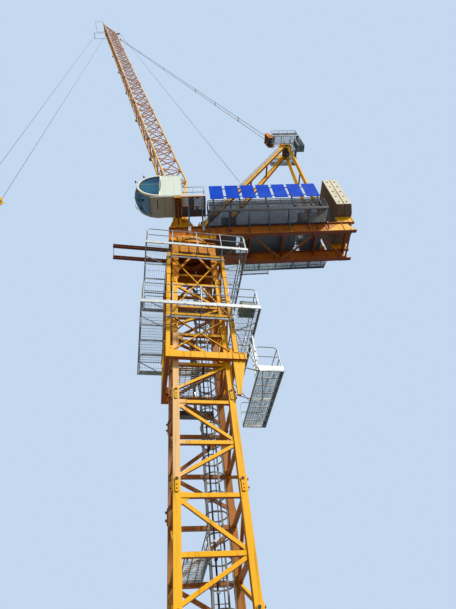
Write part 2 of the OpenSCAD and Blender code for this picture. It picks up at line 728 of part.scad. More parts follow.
module a_frame_rear() color(mast_yellow) slewed() {
    a0 = [rear_x, 76, cj_top + 8];
    a1 = [head_x + 8, 44, head_z - 40.8];
    for (s = [-1, 1]) {
        box_bar([a0[0], s * a0[1], a0[2]], [a1[0], s * a1[1], a1[2]], rear_leg - 4, rear_leg);
        block([rear_x - 14, s * 76 - 11, cj_top], [rear_x + 14, s * 76 + 11, cj_top + 20]);
    }
    for (t = [0.3, 0.62]) {
        p = a0 + (a1 - a0) * t;
        bar([p[0], -p[1], p[2]], [p[0], p[1], p[2]], 10);
    }
}

module a_frame_head() color(mast_yellow) slewed() {
    roller(head_x, -48, 48, head_z, 12 - 2 * pin_gap);
    for (i = [-1:1]) {
        roller(head_x, i * 22 - 5, i * 22 + 5, head_z, head_sheave_d - 8);
        roller(head_x, i * 22 - 6, i * 22 - 3, head_z, head_sheave_d);
        roller(head_x, i * 22 + 3, i * 22 + 6, head_z, head_sheave_d);
    }
    for (s = [-1, 1]) roller(head_x, s * 49.4 - 2, s * 49.4 + 2, head_z, 20);
}

module head_platform() color(galvanised) slewed() {
    z = head_z + 22;
    x0 = head_x - 107;
    x1 = head_x + 88;
    for (s = [-1, 1]) {
        ya = s > 0 ? 52 : -112;
        deck_plate([x0, ya, z], [x1, ya + 60, z]);
        guard([x0 + 3, s * 109, z + 3], [x1 - 3, s * 109, z + 3], 3);
        for (dx = [-20, 20])
            bar([head_x + dx, s * 49.5, head_z - 20], [head_x + dx, s * 80, z + 1], 5);
    }
    deck_plate([x1 - 50, -53, z], [x1, 53, z]);
    guard([x1 - 3, -109, z + 3], [x1 - 3, 109, z + 3], 3);
    // hanging rescue basket under the rear end
    for (x = [x1 - 48, x1 - 2]) for (y = [-110, -62]) bar([x, y, z - 190], [x, y, z], 4);
    for (h = [-190, -110]) {
        bar([x1 - 48, -110, z + h], [x1 - 2, -110, z + h], 4);
        bar([x1 - 48, -62, z + h], [x1 - 2, -62, z + h], 4);
        bar([x1 - 48, -110, z + h], [x1 - 48, -62, z + h], 4);
        bar([x1 - 2, -110, z + h], [x1 - 2, -62, z + h], 4);
    }
    block([x1 - 49, -111, z - 192], [x1 - 1, -61, z - 189]);
}

module a_frame_ladder() color(galvanised) slewed() {
    off = [0, -28.6, 0];
    v = leg_head(-1) - leg_foot(-1);
    a = leg_foot(-1) + off + v * 0.02;
    b = leg_foot(-1) + off + v * 0.93;
    ladder(a, b, [0, 14, 0], 48);
    for (t = [0.1, 0.38, 0.66, 0.9]) {
        p = leg_foot(-1) + off + v * t;
        bar(p + [0, 14, 0], p + [0, 19.3, 0], 4);
    }
}

// cab

// side outline of the cab: straight at the rear, round at the nose
module cab_profile(inset) {
    arc = [for (a = [-90:6:90]) [nose_x, nose_r] + (nose_r - inset) * [cos(a), sin(a)]];
    polygon(concat([[inset, inset]], arc, [[inset, cab_h - inset]]));
}

module cab_prism(inset, y0, y1) {
    translate([0, y1, 0]) rotate([90, 0, 0]) mirror([1, 0, 0]) linear_extrude(y1 - y0) cab_profile(inset);
}

// D-shaped side window from y0 to y1
module side_window(inset, y0, y1) {
    translate([0, y1, 0]) rotate([90, 0, 0]) mirror([1, 0, 0]) linear_extrude(y1 - y0) intersection() {
        translate([nose_x, nose_r]) circle(r = nose_r - frame_w - inset, $fn = 64);
        translate([window_x + inset, 0]) square([cab_l, cab_h]);
    }
}

// space of the front window, round the nose
module nose_block(inset) {
    side = cab_t + 4 + inset;
    rise = nose_r * sin(glass_a) - inset;
    block([-cab_l - 1, side, nose_r - rise],
        [-nose_x - nose_r * cos(glass_a) - inset, cab_w - side, nose_r + rise]);
}

module cab_shell() color(cream) slewed() translate([cab_x1, cab_y1 - cab_w, cab_z]) {
    difference() {
        cab_prism(0, 0, cab_w);
        cab_prism(cab_t, cab_t, cab_w - cab_t);
        nose_block(0);
        for (y = [0, cab_w - cab_t]) side_window(0, y - 1, y + cab_t + 1);
    }
    // door at the rear
    block([-1, 24, 10], [1.5, 74, cab_h - 44]);
    // seat and two consoles
    mid = cab_w / 2;
    block([-126, mid - 21, cab_t - 1], [-86, mid + 21, 44]);
    block([-96, mid - 19, 40], [-86, mid + 19, 108]);
    for (s = [-1, 1]) block([-146, mid + s * 34 - 7, cab_t - 1], [-100, mid + s * 34 + 7, 62]);
}

module cab_glass() color([0.15, 0.45, 0.6, 0.7]) slewed() translate([cab_x1, cab_y1 - cab_w, cab_z]) {
    intersection() {
        difference() {
            cab_prism(1, 0, cab_w);
            cab_prism(4, -1, cab_w + 1);
        }
        nose_block(0.2);
    }
    for (y = [0, cab_w - cab_t]) side_window(0.2, y + 1, y + 4);
}

module cab_balcony() color(galvanised) slewed() {
    x0 = cab_x1 + 1;
    y0 = cab_y1 - cab_w + 4;
    deck_plate([x0, y0, cab_z - 3], [x0 + 122, cab_y1 - 4, cab_z - 3]);
    guard([x0 + 3, y0 + 3, cab_z], [x0 + 119, y0 + 3, cab_z], 2);
    guard([x0 + 119, y0 + 3, cab_z], [x0 + 119, cab_y1 - 8, cab_z], 1);
    for (x = [x0 + 30, x0 + 100]) {
        block([x, -cj_y - 6, cj_z + 30], [x + 8, -cj_y, cab_z - 2]);
        bar([x + 4, y0 + 10, cab_z - 4], [x + 4, -cj_y - 3, cab_z - 70], 5);
    }
}

// jib

// lacing of n panels from s0: lower plane and the two sides
module jib_panels(s0, n, first_side = 0) {
    y = pitch_y;
    for (i = [0:n - 1]) {
        a = s0 + (i == 0 ? joint_in : i * panel);
        b = s0 + (i == n - 1 ? n * panel - joint_in : (i + 1) * panel);
        m = (a + b) / 2;
        s = i % 2 == 0 ? 1 : -1;
        bar([a, -s * y, 0], [b, s * y, 0], lace_d);
        bar([a, -y, 0], [a, y, 0], lace_d);
        if (i >= first_side) for (t = [-1, 1]) {
            bar([a, t * y, 0], [m, 0, chord_z], lace_d);
            bar([m, 0, chord_z], [b, t * y, 0], lace_d);
        }
    }
    bar([s0 + n * panel - joint_in, -y, 0], [s0 + n * panel - joint_in, y, 0], lace_d);
}

// three chords from s0 to s1 with joint collars at s1
module jib_chords(s0, s1, top0) {
    for (t = [-1, 1]) {
        bar([s0, t * pitch_y, 0], [s1, t * pitch_y, 0], chord_d, 8);
        bar([s1 - 26, t * pitch_y, 0], [s1, t * pitch_y, 0], chord_d + 7, 8);
    }
    bar([top0, 0, chord_z], [s1, 0, chord_z], chord_d, 8);
    bar([s1 - 26, 0, chord_z], [s1, 0, chord_z], chord_d + 7, 8);
}

module jib_foot() color(faded_yellow) jib_frame() {
    top_s = foot_in + 2.5 * panel;
    difference() {
        union() {
            jib_chords(14, foot_l, top_s);
            jib_panels(foot_in, foot_panels, 2);
            for (t = [-1, 1]) {
                bar([20, t * pitch_y, 0], [top_s, 0, chord_z], chord_d, 8);
                roller(0, t * pitch_y - 7, t * pitch_y + 7, 0, pivot_pin_d + 14);
                block([0, t * pitch_y - 7, -9], [30, t * pitch_y + 7, 9]);
            }
        }
        roller(0, -100, 100, 0, pivot_pin_d);
    }
}

module jib_lower() color(faded_yellow) jib_frame() for (k = [0:2]) {
    s = foot_l + k * sec_l;
    jib_chords(s, s + sec_l, s);
    jib_panels(s, sec_panels);
    for (t = [-1, 1]) bar([s + joint_in, t * pitch_y, 0], [s + joint_in, 0, chord_z], lace_d);
}

module jib_upper() color(faded_yellow) jib_frame() {
    for (k = [3:4]) {
        s = foot_l + k * sec_l;
        jib_chords(s, s + sec_l, s);
        jib_panels(s, sec_panels);
        for (t = [-1, 1]) bar([s + joint_in, t * pitch_y, 0], [s + joint_in, 0, chord_z], lace_d);
    }
    // pendant lug
    difference() {
        for (t = [-1, 1]) translate([pend_s - 20, t * 9 - 2, chord_z]) cube([40, 4, pend_z - chord_z + 9]);
        roller(pend_s, -20, 20, pend_z, 7);
    }
    block([pend_s - 20, -11, chord_z - 4], [pend_s + 20, 11, chord_z + 4]);
    roller(pend_s, -11, 11, pend_z, 8 - 2 * pin_gap);
    roller(pend_s, -13, -10.8, pend_z, 12);
    roller(pend_s, 10.8, 13, pend_z, 12);
}

// height of the upper chord in the head section
function crest(s) = chord_z * min(1, (rail_s - s) / (rail_s - knee_s));

module jib_head() color(faded_yellow) jib_frame() {
    s1 = axle_s - 50;
    for (t = [-1, 1]) {
        bar([head_s, t * pitch_y, 0], [jib_l, t * pitch_y, 0], chord_d, 8);
        bar([head_s + joint_in, t * pitch_y, 0], [head_s + joint_in, 0, chord_z], lace_d);
        // cheek plates of the head sheaves
        difference() {
            translate([0, t * cheek_y + 2, 0]) rotate([90, 0, 0]) linear_extrude(4)
                polygon([[s1 - 12, -6], [axle_s, -14], [axle_s + 12, -6], [axle_s + 12, 8],
                    [axle_s, 14], [s1 - 12, 34]]);
            roller(axle_s, -60, 60, 0, 12);
        }
        // level hoop in front of the tip
        bar([rail_s, t * pitch_y, 0],
            [rail_s + hoop_l * cos(jib_angle), t * (pitch_y + 5), -hoop_l * sin(jib_angle)], 4.5, 8);
    }
    bar([rail_s + hoop_l * cos(jib_angle), -pitch_y - 6, -hoop_l * sin(jib_angle)],
        [rail_s + hoop_l * cos(jib_angle), pitch_y + 6, -hoop_l * sin(jib_angle)], 4.5, 8);
    bar([rail_s, -pitch_y, 0], [rail_s, pitch_y, 0], chord_d - 3, 8);
    bar([head_s, 0, chord_z], [knee_s, 0, chord_z], chord_d, 8);
    bar([knee_s, 0, chord_z], [rail_s, 0, 0], chord_d, 8);
    bar([s1, -cheek_y, 26], [s1, cheek_y, 26], 12);
    bar([s1, -pitch_y, 0], [s1, pitch_y, 0], 12);
    for (i = [0:head_panels - 1]) {
        a = head_s + (i == 0 ? joint_in : i * panel);
        b = head_s + (i + 1) * panel;
        m = head_s + (i + 0.5) * panel;
        for (t = [-1, 1]) {
            bar([a, t * pitch_y, 0], [m, 0, crest(m)], lace_d);
            bar([m, 0, crest(m)], [b, t * pitch_y, 0], lace_d);
        }
        bar([b, -pitch_y, 0], [b, pitch_y, 0], lace_d);
        // the head sheaves stand in the first panel, so it has no diagonal
        s = i % 2 == 0 ? 1 : -1;
        if (i > 0) bar([a, -s * pitch_y, 0], [b, s * pitch_y, 0], lace_d);
    }
    bar([head_s + joint_in, -pitch_y, 0], [head_s + joint_in, pitch_y, 0], lace_d);
    // bracket of the guide sheave beside the upper chord
    block([guide_s - 12, -4, chord_z - 14], [guide_s + 12, rope_y + 10, chord_z - 3]);
    difference() {
        for (t = [-1, 1]) block([guide_s - 12, rope_y + t * 8.5 - 1.5, chord_z - 14],
            [guide_s + 12, rope_y + t * 8.5 + 1.5, guide_z + 9]);
        roller(guide_s, rope_y - 20, rope_y + 20, guide_z, 8);
    }
}

// grooved sheave across the Y axis
module sheave(x, y, z, d) {
    roller(x, y - 4, y + 4, z, d - 6);
    roller(x, y - 6, y - 3, z, d);
    roller(x, y + 3, y + 6, z, d);
}

// head sheaves on their axle, which also carries the rope frame, and the guide sheave
module head_sheave() color(dark_steel) jib_frame() {
    roller(axle_s, -54, 54, 0, 12 - 2 * pin_gap);
    for (t = [-1, 1]) roller(axle_s, t * (cheek_y + 4.4) - 2, t * (cheek_y + 4.4) + 2, 0, 18);
    for (y = [0, rope_y]) sheave(axle_s, y, 0, tip_sheave_d);
    roller(guide_s, rope_y - 12, rope_y + 12, guide_z, 8 - 2 * pin_gap);
    sheave(guide_s, rope_y, guide_z, guide_d);
}

// from the drum to the guide sheave, and from there to the head sheave
module hoist_rope() color(dark_steel) {
    lean = atan2(hoist_x - guide_x, guide_h - winch_z);
    slewed() bar([guide_x + guide_rope * cos(lean), -rope_y, guide_h + guide_rope * sin(lean)],
        [hoist_x - drum_rope * cos(lean), -rope_y, winch_z - drum_rope * sin(lean)], rope_d, 8);
    jib_frame() bar([guide_s + guide_rope, rope_y, guide_z], [guide_s + guide_rope, rope_y, 0], rope_d, 8);
}

module pendants() color(galvanised) pendant_frame() {
    difference() {
        union() {
            roller(0, -6.4, 6.4, 0, 14);
            bar([0, -4, 0], [block_s - 8.5, -14, 0], pendant_d, 8);
            bar([0, 4, 0], [block_s - 8.5, 14, 0], pendant_d, 8);
            for (k = [0.222, 0.444, 0.666, 0.777, 0.888])
                translate([k * block_s, 0, 0]) block([-12, -5 - 10.4 * k, -4], [12, 5 + 10.4 * k, 4]);
        }
        roller(0, -10, 10, 0, 8);
    }
}

module luffing_block() color(mast_yellow) pendant_frame() {
    s = block_s;
    for (y = [-36, 36]) translate([0, y + 2, 0]) rotate([90, 0, 0]) linear_extrude(4)
        polygon([[s - 10, -12], [s + 96, -30], [s + 104, 0], [s + 96, 30], [s - 10, 12]]);
    block([s - 8, -36, -10], [s + 6, 36, 10]);
    roller(s + 66, -40, 40, 0, 12);
    for (i = [-1:1]) {
        roller(s + 66, i * 22 - 5, i * 22 + 5, 0, head_sheave_d - 8);
        roller(s + 66, i * 22 - 6, i * 22 - 3, 0, head_sheave_d);
        roller(s + 66, i * 22 + 3, i * 22 + 6, 0, head_sheave_d);
    }
}

module luffing_falls() color(dark_steel) pendant_frame() {
    r = (head_sheave_d - 8) / 2 + 1 + run_gap;
    for (i = [-1:1]) for (t = [-1, 1])
        bar([block_s + 66, i * 22, t * r], [pend_l - 50, i * 22, t * r], 2, 8);
}

// hook

// hangs from the head axle and holds the fixed end of the second fall
module tip_frame() color(galvanised) slewed() translate([tip_x, 0, tip_z]) {
    ax = fall_x - fall_gap - tip_x;
    for (t = [-1, 1]) difference() {
        union() {
            roller(0, t * hub_y - 3, t * hub_y + 3, 0, 26);
            bar([-8, t * hub_y, 0], [ax - 4, t * hub_y, 0], 4.5, 8);
        }
        roller(0, -50, 50, 0, 12);
    }
    bar([ax, -hub_y - 1, 0], [ax, hub_y + 1, 0], 6, 8);
}

module hoist_falls() color(dark_steel) slewed() {
    translate([fall_x, 0, block_z]) cylinder(h = tip_z - block_z, d = rope_d, $fn = 12);
    translate([fall_x - fall_gap, 0, block_z]) cylinder(h = tip_z - block_z - 3.3, d = rope_d, $fn = 12);
}

module hook_block() color(mast_yellow) slewed() translate([fall_x - fall_gap / 2, 0, block_z]) {
    w = fall_gap / 2;
    for (t = [-1, 1]) translate([0, t * 12 + 2, 0]) rotate([90, 0, 0]) linear_extrude(4)
        polygon([[-w - 4, 24], [-w - 16, 0], [-w + 10, -28], [-16, -44], [16, -44], [w - 10, -28],
            [w + 16, 0], [w + 4, 24]]);
    xs = w - 20 - rope_d / 2 - run_gap;
    for (x = [-xs, xs]) {
        roller(x, -14, 14, 0, 12);
        roller(x, -4, 4, 0, 40);
        roller(x, -6, -3, 0, 46);
        roller(x, 3, 6, 0, 46);
    }
    block([-16, -12, -44], [16, 12, -30]);
    difference() {
        translate([0, 0, -56]) cylinder(h = 14, d = 24, $fn = 48);
        translate([0, 0, -57]) cylinder(h = 12, d = 10, $fn = 48);
    }
}

module lifting_hook() color(dark_steel) slewed() translate([fall_x - fall_gap / 2, 0, block_z]) {
    translate([0, 0, -100]) cylinder(h = 54.5, d = 10 - 2 * pin_gap, $fn = 48);
    translate([0, 0, -98]) cylinder(h = 10, d = 15, $fn = 48);
    // round bowl, open on one side, with rounded ends
    translate([0, 0, -120]) rotate([90, 0, 0]) {
        rotate([0, 0, 80]) rotate_extrude(angle = 310, $fn = 64) translate([22, 0]) circle(d = 12, $fn = 32);
        rotate([0, 0, 80]) translate([22, 0, 0]) sphere(d = 15, $fn = 32);
        rotate([0, 0, 30]) translate([22, 0, 0]) sphere(d = 13.4, $fn = 32);
    }
}

// part

base_frame();
mast_base_section();
mast_section_1();
mast_section_2();
mast_section_3();
mast_section_4();
mast_section_5();
mast_ladder();
rest_platforms();
power_cable();
climbing_frame();
loading_rails();
jacking_ram();
upper_platform();
main_platform();
side_platform();
hydraulic_unit();
platform_ladders();
slew_support();
turntable();
slew_drives();
counter_jib();
counter_jib_lacing();
machinery_deck();
near_walkway();
far_walkway();
hoist_winch();
luffing_winch();
electrical_cabinets();
counterweights();
sign_board();
a_frame_front();
a_frame_rear();
a_frame_head();
head_platform();
a_frame_ladder();
cab_shell();
cab_glass();
cab_balcony();
jib_foot();
jib_lower();
jib_upper();
jib_head();
head_sheave();
hoist_rope();
pendants();
luffing_block();
luffing_falls();
tip_frame();
hoist_falls();
hook_block();
lifting_hook();
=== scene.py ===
import math

import bmesh
import bpy
from mathutils import Matrix, Vector


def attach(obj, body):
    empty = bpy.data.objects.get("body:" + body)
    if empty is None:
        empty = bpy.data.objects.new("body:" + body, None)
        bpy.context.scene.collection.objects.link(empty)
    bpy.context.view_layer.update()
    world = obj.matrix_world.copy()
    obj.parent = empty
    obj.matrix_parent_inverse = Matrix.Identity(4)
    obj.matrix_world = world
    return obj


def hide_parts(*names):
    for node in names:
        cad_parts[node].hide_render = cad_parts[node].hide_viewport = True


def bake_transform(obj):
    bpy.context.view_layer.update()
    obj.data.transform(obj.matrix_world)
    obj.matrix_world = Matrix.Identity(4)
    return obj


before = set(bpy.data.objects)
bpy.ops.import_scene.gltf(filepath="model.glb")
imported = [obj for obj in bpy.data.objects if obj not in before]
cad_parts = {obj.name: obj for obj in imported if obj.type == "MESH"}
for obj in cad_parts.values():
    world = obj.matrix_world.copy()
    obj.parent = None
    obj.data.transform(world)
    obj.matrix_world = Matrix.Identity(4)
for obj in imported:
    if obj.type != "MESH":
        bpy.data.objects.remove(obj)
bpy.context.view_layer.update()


# Mast
# Welded lattice sections of angle steel, pinned end to end on a bolted base frame and sprayed in
# crane yellow. The two sections that stood longest in the sun have legs bleached to peach.
class Value:
    """A socket of a finish. Arithmetic on it adds the Math nodes."""

    def __init__(self, finish, socket):
        self.finish, self.socket = finish, socket

    def maths(self, operation, *values):
        return self.finish.node("Math", {"operation": operation}, dict(enumerate(values)))

    def __add__(self, other):
        return self.maths("ADD", self, other)

    def __sub__(self, other):
        return self.maths("SUBTRACT", self, other)

    def __rsub__(self, other):
        return self.maths("SUBTRACT", other, self)

    def __mul__(self, other):
        return self.maths("MULTIPLY", self, other)

    __radd__ = __add__
    __rmul__ = __mul__

    def rise(self, low, high):
        return self.finish.node("MapRange", {"interpolation_type": "SMOOTHSTEP"},
                                {0: self, 1: low, 2: high, 3: 0.0, 4: 1.0})


class Finish:
    """A material of its own, with the record's slot that it belongs to."""

    def __init__(self, name, slot, **constants):
        self.slot = slot
        self.material = bpy.data.materials.new(name)
        self.material.use_nodes = True
        self.tree = self.material.node_tree
        self.shader = self.tree.nodes["Principled BSDF"]
        for socket, value in constants.items():
            self.shader.inputs[socket.replace("_", " ")].default_value = value

    def node(self, kind, settings, inputs, output=0):
        made = self.tree.nodes.new("ShaderNode" + kind)
        for key, value in settings.items():
            setattr(made, key, value)
        for key, value in inputs.items():
            self.feed(made.inputs[key], value)
        return Value(self, made.outputs[output])

    def feed(self, socket, value):
        if isinstance(value, Value):
            self.tree.links.new(value.socket, socket)
        else:
            socket.default_value = value

    def place(self, output="Object"):
        return self.node("TexCoord", {}, {}, output)

    def along(self, axis, vector=None):
        """How far a point lies along an axis, or how far a normal leans that way."""
        vector = self.place() if vector is None else vector
        return self.node("VectorMath", {"operation": "DOT_PRODUCT"}, {0: vector, 1: axis}, 1)

    def noise(self, scale, detail=3.0, stretch=(1, 1, 1)):
        where = self.node("Mapping", {}, {"Vector": self.place(), "Scale": stretch})
        return self.node("TexNoise", {}, {"Vector": where, "Scale": scale, "Detail": detail,
                                          "Roughness": 0.55})

    def mix(self, factor, first, second):
        return self.node("Mix", {"data_type": "RGBA"}, {0: factor, 6: first, 7: second}, 2)

    def set(self, **channels):
        for channel, value in channels.items():
            self.feed(self.shader.inputs[channel.replace("_", " ")], value)
        return self

    def bump(self, height, strength, distance):
        return self.set(Normal=self.node(
            "Bump", {}, {"Height": height, "Strength": strength, "Distance": distance}))


def rgb(red, green, blue):
    """An on-screen colour of 0 to 255 as the light it stands for."""
    def light(c):
        c /= 255
        return c / 12.92 if c < 0.04045 else ((c + 0.055) / 1.055) ** 2.4
    return (light(red), light(green), light(blue), 1.0)


def weathered_and_shaded(paint, colour, shaded, grime, rust):
    """Painted shade on faces that look down or away from the sun, with dirt streaks, chips and rust on a
    colour.
    """
    facing = paint.place("Normal")
    # painted shade: faces that look down or away from the sun take the shaded colour
    under = paint.along((0, 0, -1), facing).rise(-0.1, 0.7)
    away = paint.along((-0.75, 0.66, 0), facing).rise(0.1, 0.9)
    colour = paint.mix((under + away * 0.6).rise(0.0, 1.0), colour, shaded)
    streak = paint.noise(90.0, 3.0, (1, 1, 0.06)).rise(0.52, 0.72)
    speck = paint.noise(260.0, 2.0).rise(0.6, 0.74)
    colour = paint.mix(streak * grime, colour, rgb(96, 58, 28))
    rusty = (paint.noise(34.0, 5.0).rise(0.6, 0.7) * rust + speck * (rust * 0.5)).rise(0.1, 0.9)
    colour = paint.mix(rusty, colour, rgb(104, 50, 22))
    rough = 0.42 + paint.noise(40.0, 3.0) * 0.2 + rusty * 0.25
    paint.set(Base_Color=colour, Roughness=rough)
    return paint.bump(paint.noise(300.0, 2.0) * 0.4 - speck * 0.5, 0.25, 0.0006)


def site_paint(name, slot, colour, faded, shaded, grime, rust=0.5):
    """Sprayed paint: bleached in patches, with painted shade underneath and away from the sun, streaked
    and rusting.
    """
    paint = Finish(name, slot, Specular_IOR_Level=0.22)
    bleach = paint.noise(5.0, 4.0).rise(0.38, 0.66)
    return weathered_and_shaded(paint, paint.mix(bleach * 0.55, colour, faded), shaded, grime, rust)


def plain_coat(name, slot, colour, dull, rough=0.5, grain=60.0):
    coat = Finish(name, slot, Specular_IOR_Level=0.35)
    tone = coat.noise(grain, 4.0).rise(0.3, 0.75)
    dust = coat.along((0, 0, 1), coat.place("Normal")).rise(0.3, 1.0)
    coat.set(Base_Color=coat.mix((tone * 0.7 + dust * 0.3).rise(0.0, 1.0), colour, dull),
             Roughness=rough + coat.noise(grain * 3, 2.0) * 0.15)
    return coat.bump(coat.noise(grain * 6, 2.0), 0.15, 0.0004)


def finish_node(finish, *names):
    for name in names:
        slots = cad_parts[name].data.materials
        slots.clear()
        slots.append(finish.material)


class Shape:
    """Faces gathered for one piece, drawn in millimetres in a frame of its own."""

    def __init__(self, at=Matrix()):
        self.at, self.points, self.faces = at, [], []

    def loft(self, rings, closed=False):
        """Skin over like rings of points, with its ends capped unless it closes on itself."""
        first, n = len(self.points), len(rings[0])
        for ring in rings:
            self.points += [self.at @ Vector(p) for p in ring]
        for k in range(len(rings) if closed else len(rings) - 1):
            a, b = first + k * n, first + (k + 1) % len(rings) * n
            self.faces += [(a + i, a + (i + 1) % n, b + (i + 1) % n, b + i) for i in range(n)]
        if not closed:
            self.faces += [tuple(first + i for i in reversed(range(n))),
                           tuple(first + (len(rings) - 1) * n + i for i in range(n))]

    def box(self, a, b):
        x, y, z = ((min(p, q), max(p, q)) for p, q in zip(a, b))
        self.loft([[(x[0], y[0], h), (x[1], y[0], h), (x[1], y[1], h), (x[0], y[1], h)] for h in z])

    def sides(self, ahead):
        ahead = Vector(ahead).normalized()
        across = ahead.orthogonal() if abs(ahead.z) > 0.99 else ahead.cross((0, 0, 1))
        across.normalize()
        return across, across.cross(ahead)

    def bar(self, a, b, wide, high):
        a, b = Vector(a), Vector(b)
        u, v = self.sides(b - a)
        corners = [(-1, -1), (1, -1), (1, 1), (-1, 1)]
        self.loft([[p + u * (s * wide / 2) + v * (t * high / 2) for s, t in corners]
                   for p in (a, b)])

    def pipe(self, path, across, sides=10, closed=False):
        path = [Vector(p) for p in path]
        n = len(path)
        rings = []
        u = None
        for i, p in enumerate(path):
            back = path[i - 1] if i or closed else p
            on = path[(i + 1) % n] if i < n - 1 or closed else p
            ahead = (on - back).normalized()
            u = self.sides(ahead)[0] if u is None else (u - ahead * u.dot(ahead)).normalized()
            v = ahead.cross(u)
            rings.append([p + (u * math.cos(t) + v * math.sin(t)) * (across / 2)
                          for t in (math.tau * k / sides for k in range(sides))])
        self.loft(rings, closed=closed)

    def turned(self, centre, axis, profile, sides=32, closed=False):
        """A turned form: profile is (distance along the axis, radius)."""
        axis = Vector(axis).normalized()
        u, v = self.sides(axis)
        centre = Vector(centre)
        self.loft([[centre + axis * d + (u * math.cos(t) + v * math.sin(t)) * r
                    for t in (math.tau * k / sides for k in range(sides))] for d, r in profile],
                  closed=closed)

    def plate(self, outline, normal_axis, low, high):
        """A flat outline cut from plate; its third axis runs from low to high."""
        order = {"x": lambda p, h: (h, p[0], p[1]), "y": lambda p, h: (p[0], h, p[1]),
                 "z": lambda p, h: (p[0], p[1], h)}[normal_axis]
        self.loft([[order(p, h) for p in outline] for h in (low, high)])

    def hexagon(self, centre, axis, across, high):
        """A nut or bolt head, by its width across flats."""
        corner_r = across * 0.577
        self.turned(centre, axis, [(0, corner_r), (high, corner_r)], 6)

    def make(self, name, finish, body, *replaced, edge=0.0):
        """Add the piece. It rides a body, or, given two bodies and two points, is left where it is built.
        """
        mesh = bpy.data.meshes.new(name)
        mesh.from_pydata([p * 0.001 for p in self.points], [], self.faces)
        work = bmesh.new()
        work.from_mesh(mesh)
        bmesh.ops.recalc_face_normals(work, faces=work.faces)
        work.to_mesh(mesh)
        work.free()
        mesh.materials.append(finish.material)
        mesh.shade_smooth()
        mesh.set_sharp_from_angle(angle=math.radians(35))
        piece = bpy.data.objects.new(name, mesh)
        bpy.context.scene.collection.objects.link(piece)
        if edge:
            round_off = piece.modifiers.new("edges", "BEVEL")
            round_off.width = edge * 0.001
            round_off.segments = 2
            round_off.angle_limit = math.radians(40)
        if isinstance(body, str):
            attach(piece, body)
        else:
            first, second, start, end = body
            list(start * 0.001)
            list(end * 0.001)
            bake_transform(piece)
        if replaced:
            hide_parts(*replaced)


def mast_paint(name, slot, bleached):
    """Crane yellow, bleached on the legs at -X, with painted shade in brown on the inner faces at the
    rear.
    """
    paint = Finish(name, slot, Specular_IOR_Level=0.22)
    patchy = paint.noise(5.0, 4.0).rise(0.38, 0.66) * 0.55
    left = paint.along((-1, 0, 0)).rise(0.04, 0.08)
    # painted shade on the rear members' inner faces, which look to the front from inside the mast
    rear = (paint.along((0, 1, 0)).rise(0.05, 0.085)
            * paint.along((0, -1, 0), paint.place("Normal")).rise(0.3, 0.8))
    yellow = paint.mix(patchy, rgb(255, 184, 4), rgb(255, 200, 48))
    colour = paint.mix(rear * 0.85, paint.mix(left, yellow, bleached), rgb(150, 84, 54))
    return weathered_and_shaded(paint, colour, rgb(140, 74, 24), 0.35, 0.35)


bright_yellow = site_paint("bright_yellow", "yellow_paint", rgb(255, 184, 4), rgb(255, 200, 48),
                           rgb(140, 72, 18), 0.35, 0.35)
mast_yellow = mast_paint("mast_yellow", "yellow_paint", rgb(255, 192, 40))
bleached_yellow = mast_paint("bleached_yellow", "faded_paint", rgb(246, 198, 134))
finish_node(mast_yellow, "base_frame", "mast_base_section", "mast_section_1", "mast_section_2",
            "mast_section_5")
finish_node(bleached_yellow, "mast_section_3", "mast_section_4")

leg_mid, face_y = 90, 100
first_joint, section_tall = 200, 310
four_corners = [(s, t) for s in (-1, 1) for t in (-1, 1)]
straps, pins = Shape(), Shape()
for level in (first_joint + section_tall * i for i in range(6)):
    for s, t in four_corners:
        # a strap down the front or rear face of the leg, with a pin through its eye
        x, y, eye_z = s * leg_mid, t * face_y, level + 8
        eye = [(x + 7.5 * math.cos(a), eye_z + 7.5 * math.sin(a))
               for a in (math.radians(k) for k in range(-20, 201, 20))]
        straps.plate([(x - 5.5, level - 26), (x - 3.5, level - 29), (x + 3.5, level - 29),
                      (x + 5.5, level - 26), (x + 5.5, level + 3), *eye, (x - 5.5, level + 3)],
                     "y", y + t * 0.05, y + t * 3)
        pins.turned((x, y + t * 3, eye_z), (0, t, 0), [(0, 4.2), (1.6, 4.2), (2.4, 3.2)], 20)
        for z in (level - 20, level - 9):
            pins.hexagon((x, y + t * 3, z), (0, t, 0), 3.4, 1.2)
        for z in (level - 12, level + 12):
            pins.turned((s * 106, t * leg_mid, z), (s, 0, 0), [(0, 2.6), (1.8, 2.6), (2.2, 2)], 16)
            pins.pipe([(s * 107, t * leg_mid, z - 5), (s * 107, t * leg_mid, z + 5)], 1.1, 6)
straps.make("leg_straps", bright_yellow, "mast", edge=0.5)
dark_paint = plain_coat("dark_enamel", "dark_steel", rgb(48, 50, 53), rgb(84, 84, 82), 0.42)
pins.make("leg_pins", dark_paint, "mast")


# Base anchors
# Long studs from the foundation come up through the corner plates of the base frame, each with
# a washer and two hexagon nuts of zinc-plated steel.
def zinc_finish(name, slot, colour, dull, metal=0.3, shade=0.75):
    """Zinc in clouds and spangles, darker on the faces that look down or away from the sun."""
    zinc = Finish(name, slot, Metallic=metal)
    cloud = zinc.noise(30.0, 4.0)
    spangle = zinc.node("TexVoronoi", {}, {"Vector": zinc.place(), "Scale": 260.0})
    tone = zinc.mix((cloud * 0.7 + spangle * 0.5).rise(0.2, 0.9), colour, dull)
    facing = zinc.place("Normal")
    under = zinc.along((0, 0, -1), facing).rise(-0.1, 0.8)
    away = zinc.along((-0.75, 0.66, 0), facing).rise(0.0, 0.9)
    tone = zinc.mix((under + away * 0.8).rise(0.0, 1.1) * shade, tone, rgb(70, 84, 92))
    return zinc.set(Base_Color=tone, Roughness=0.38 + cloud * 0.25)


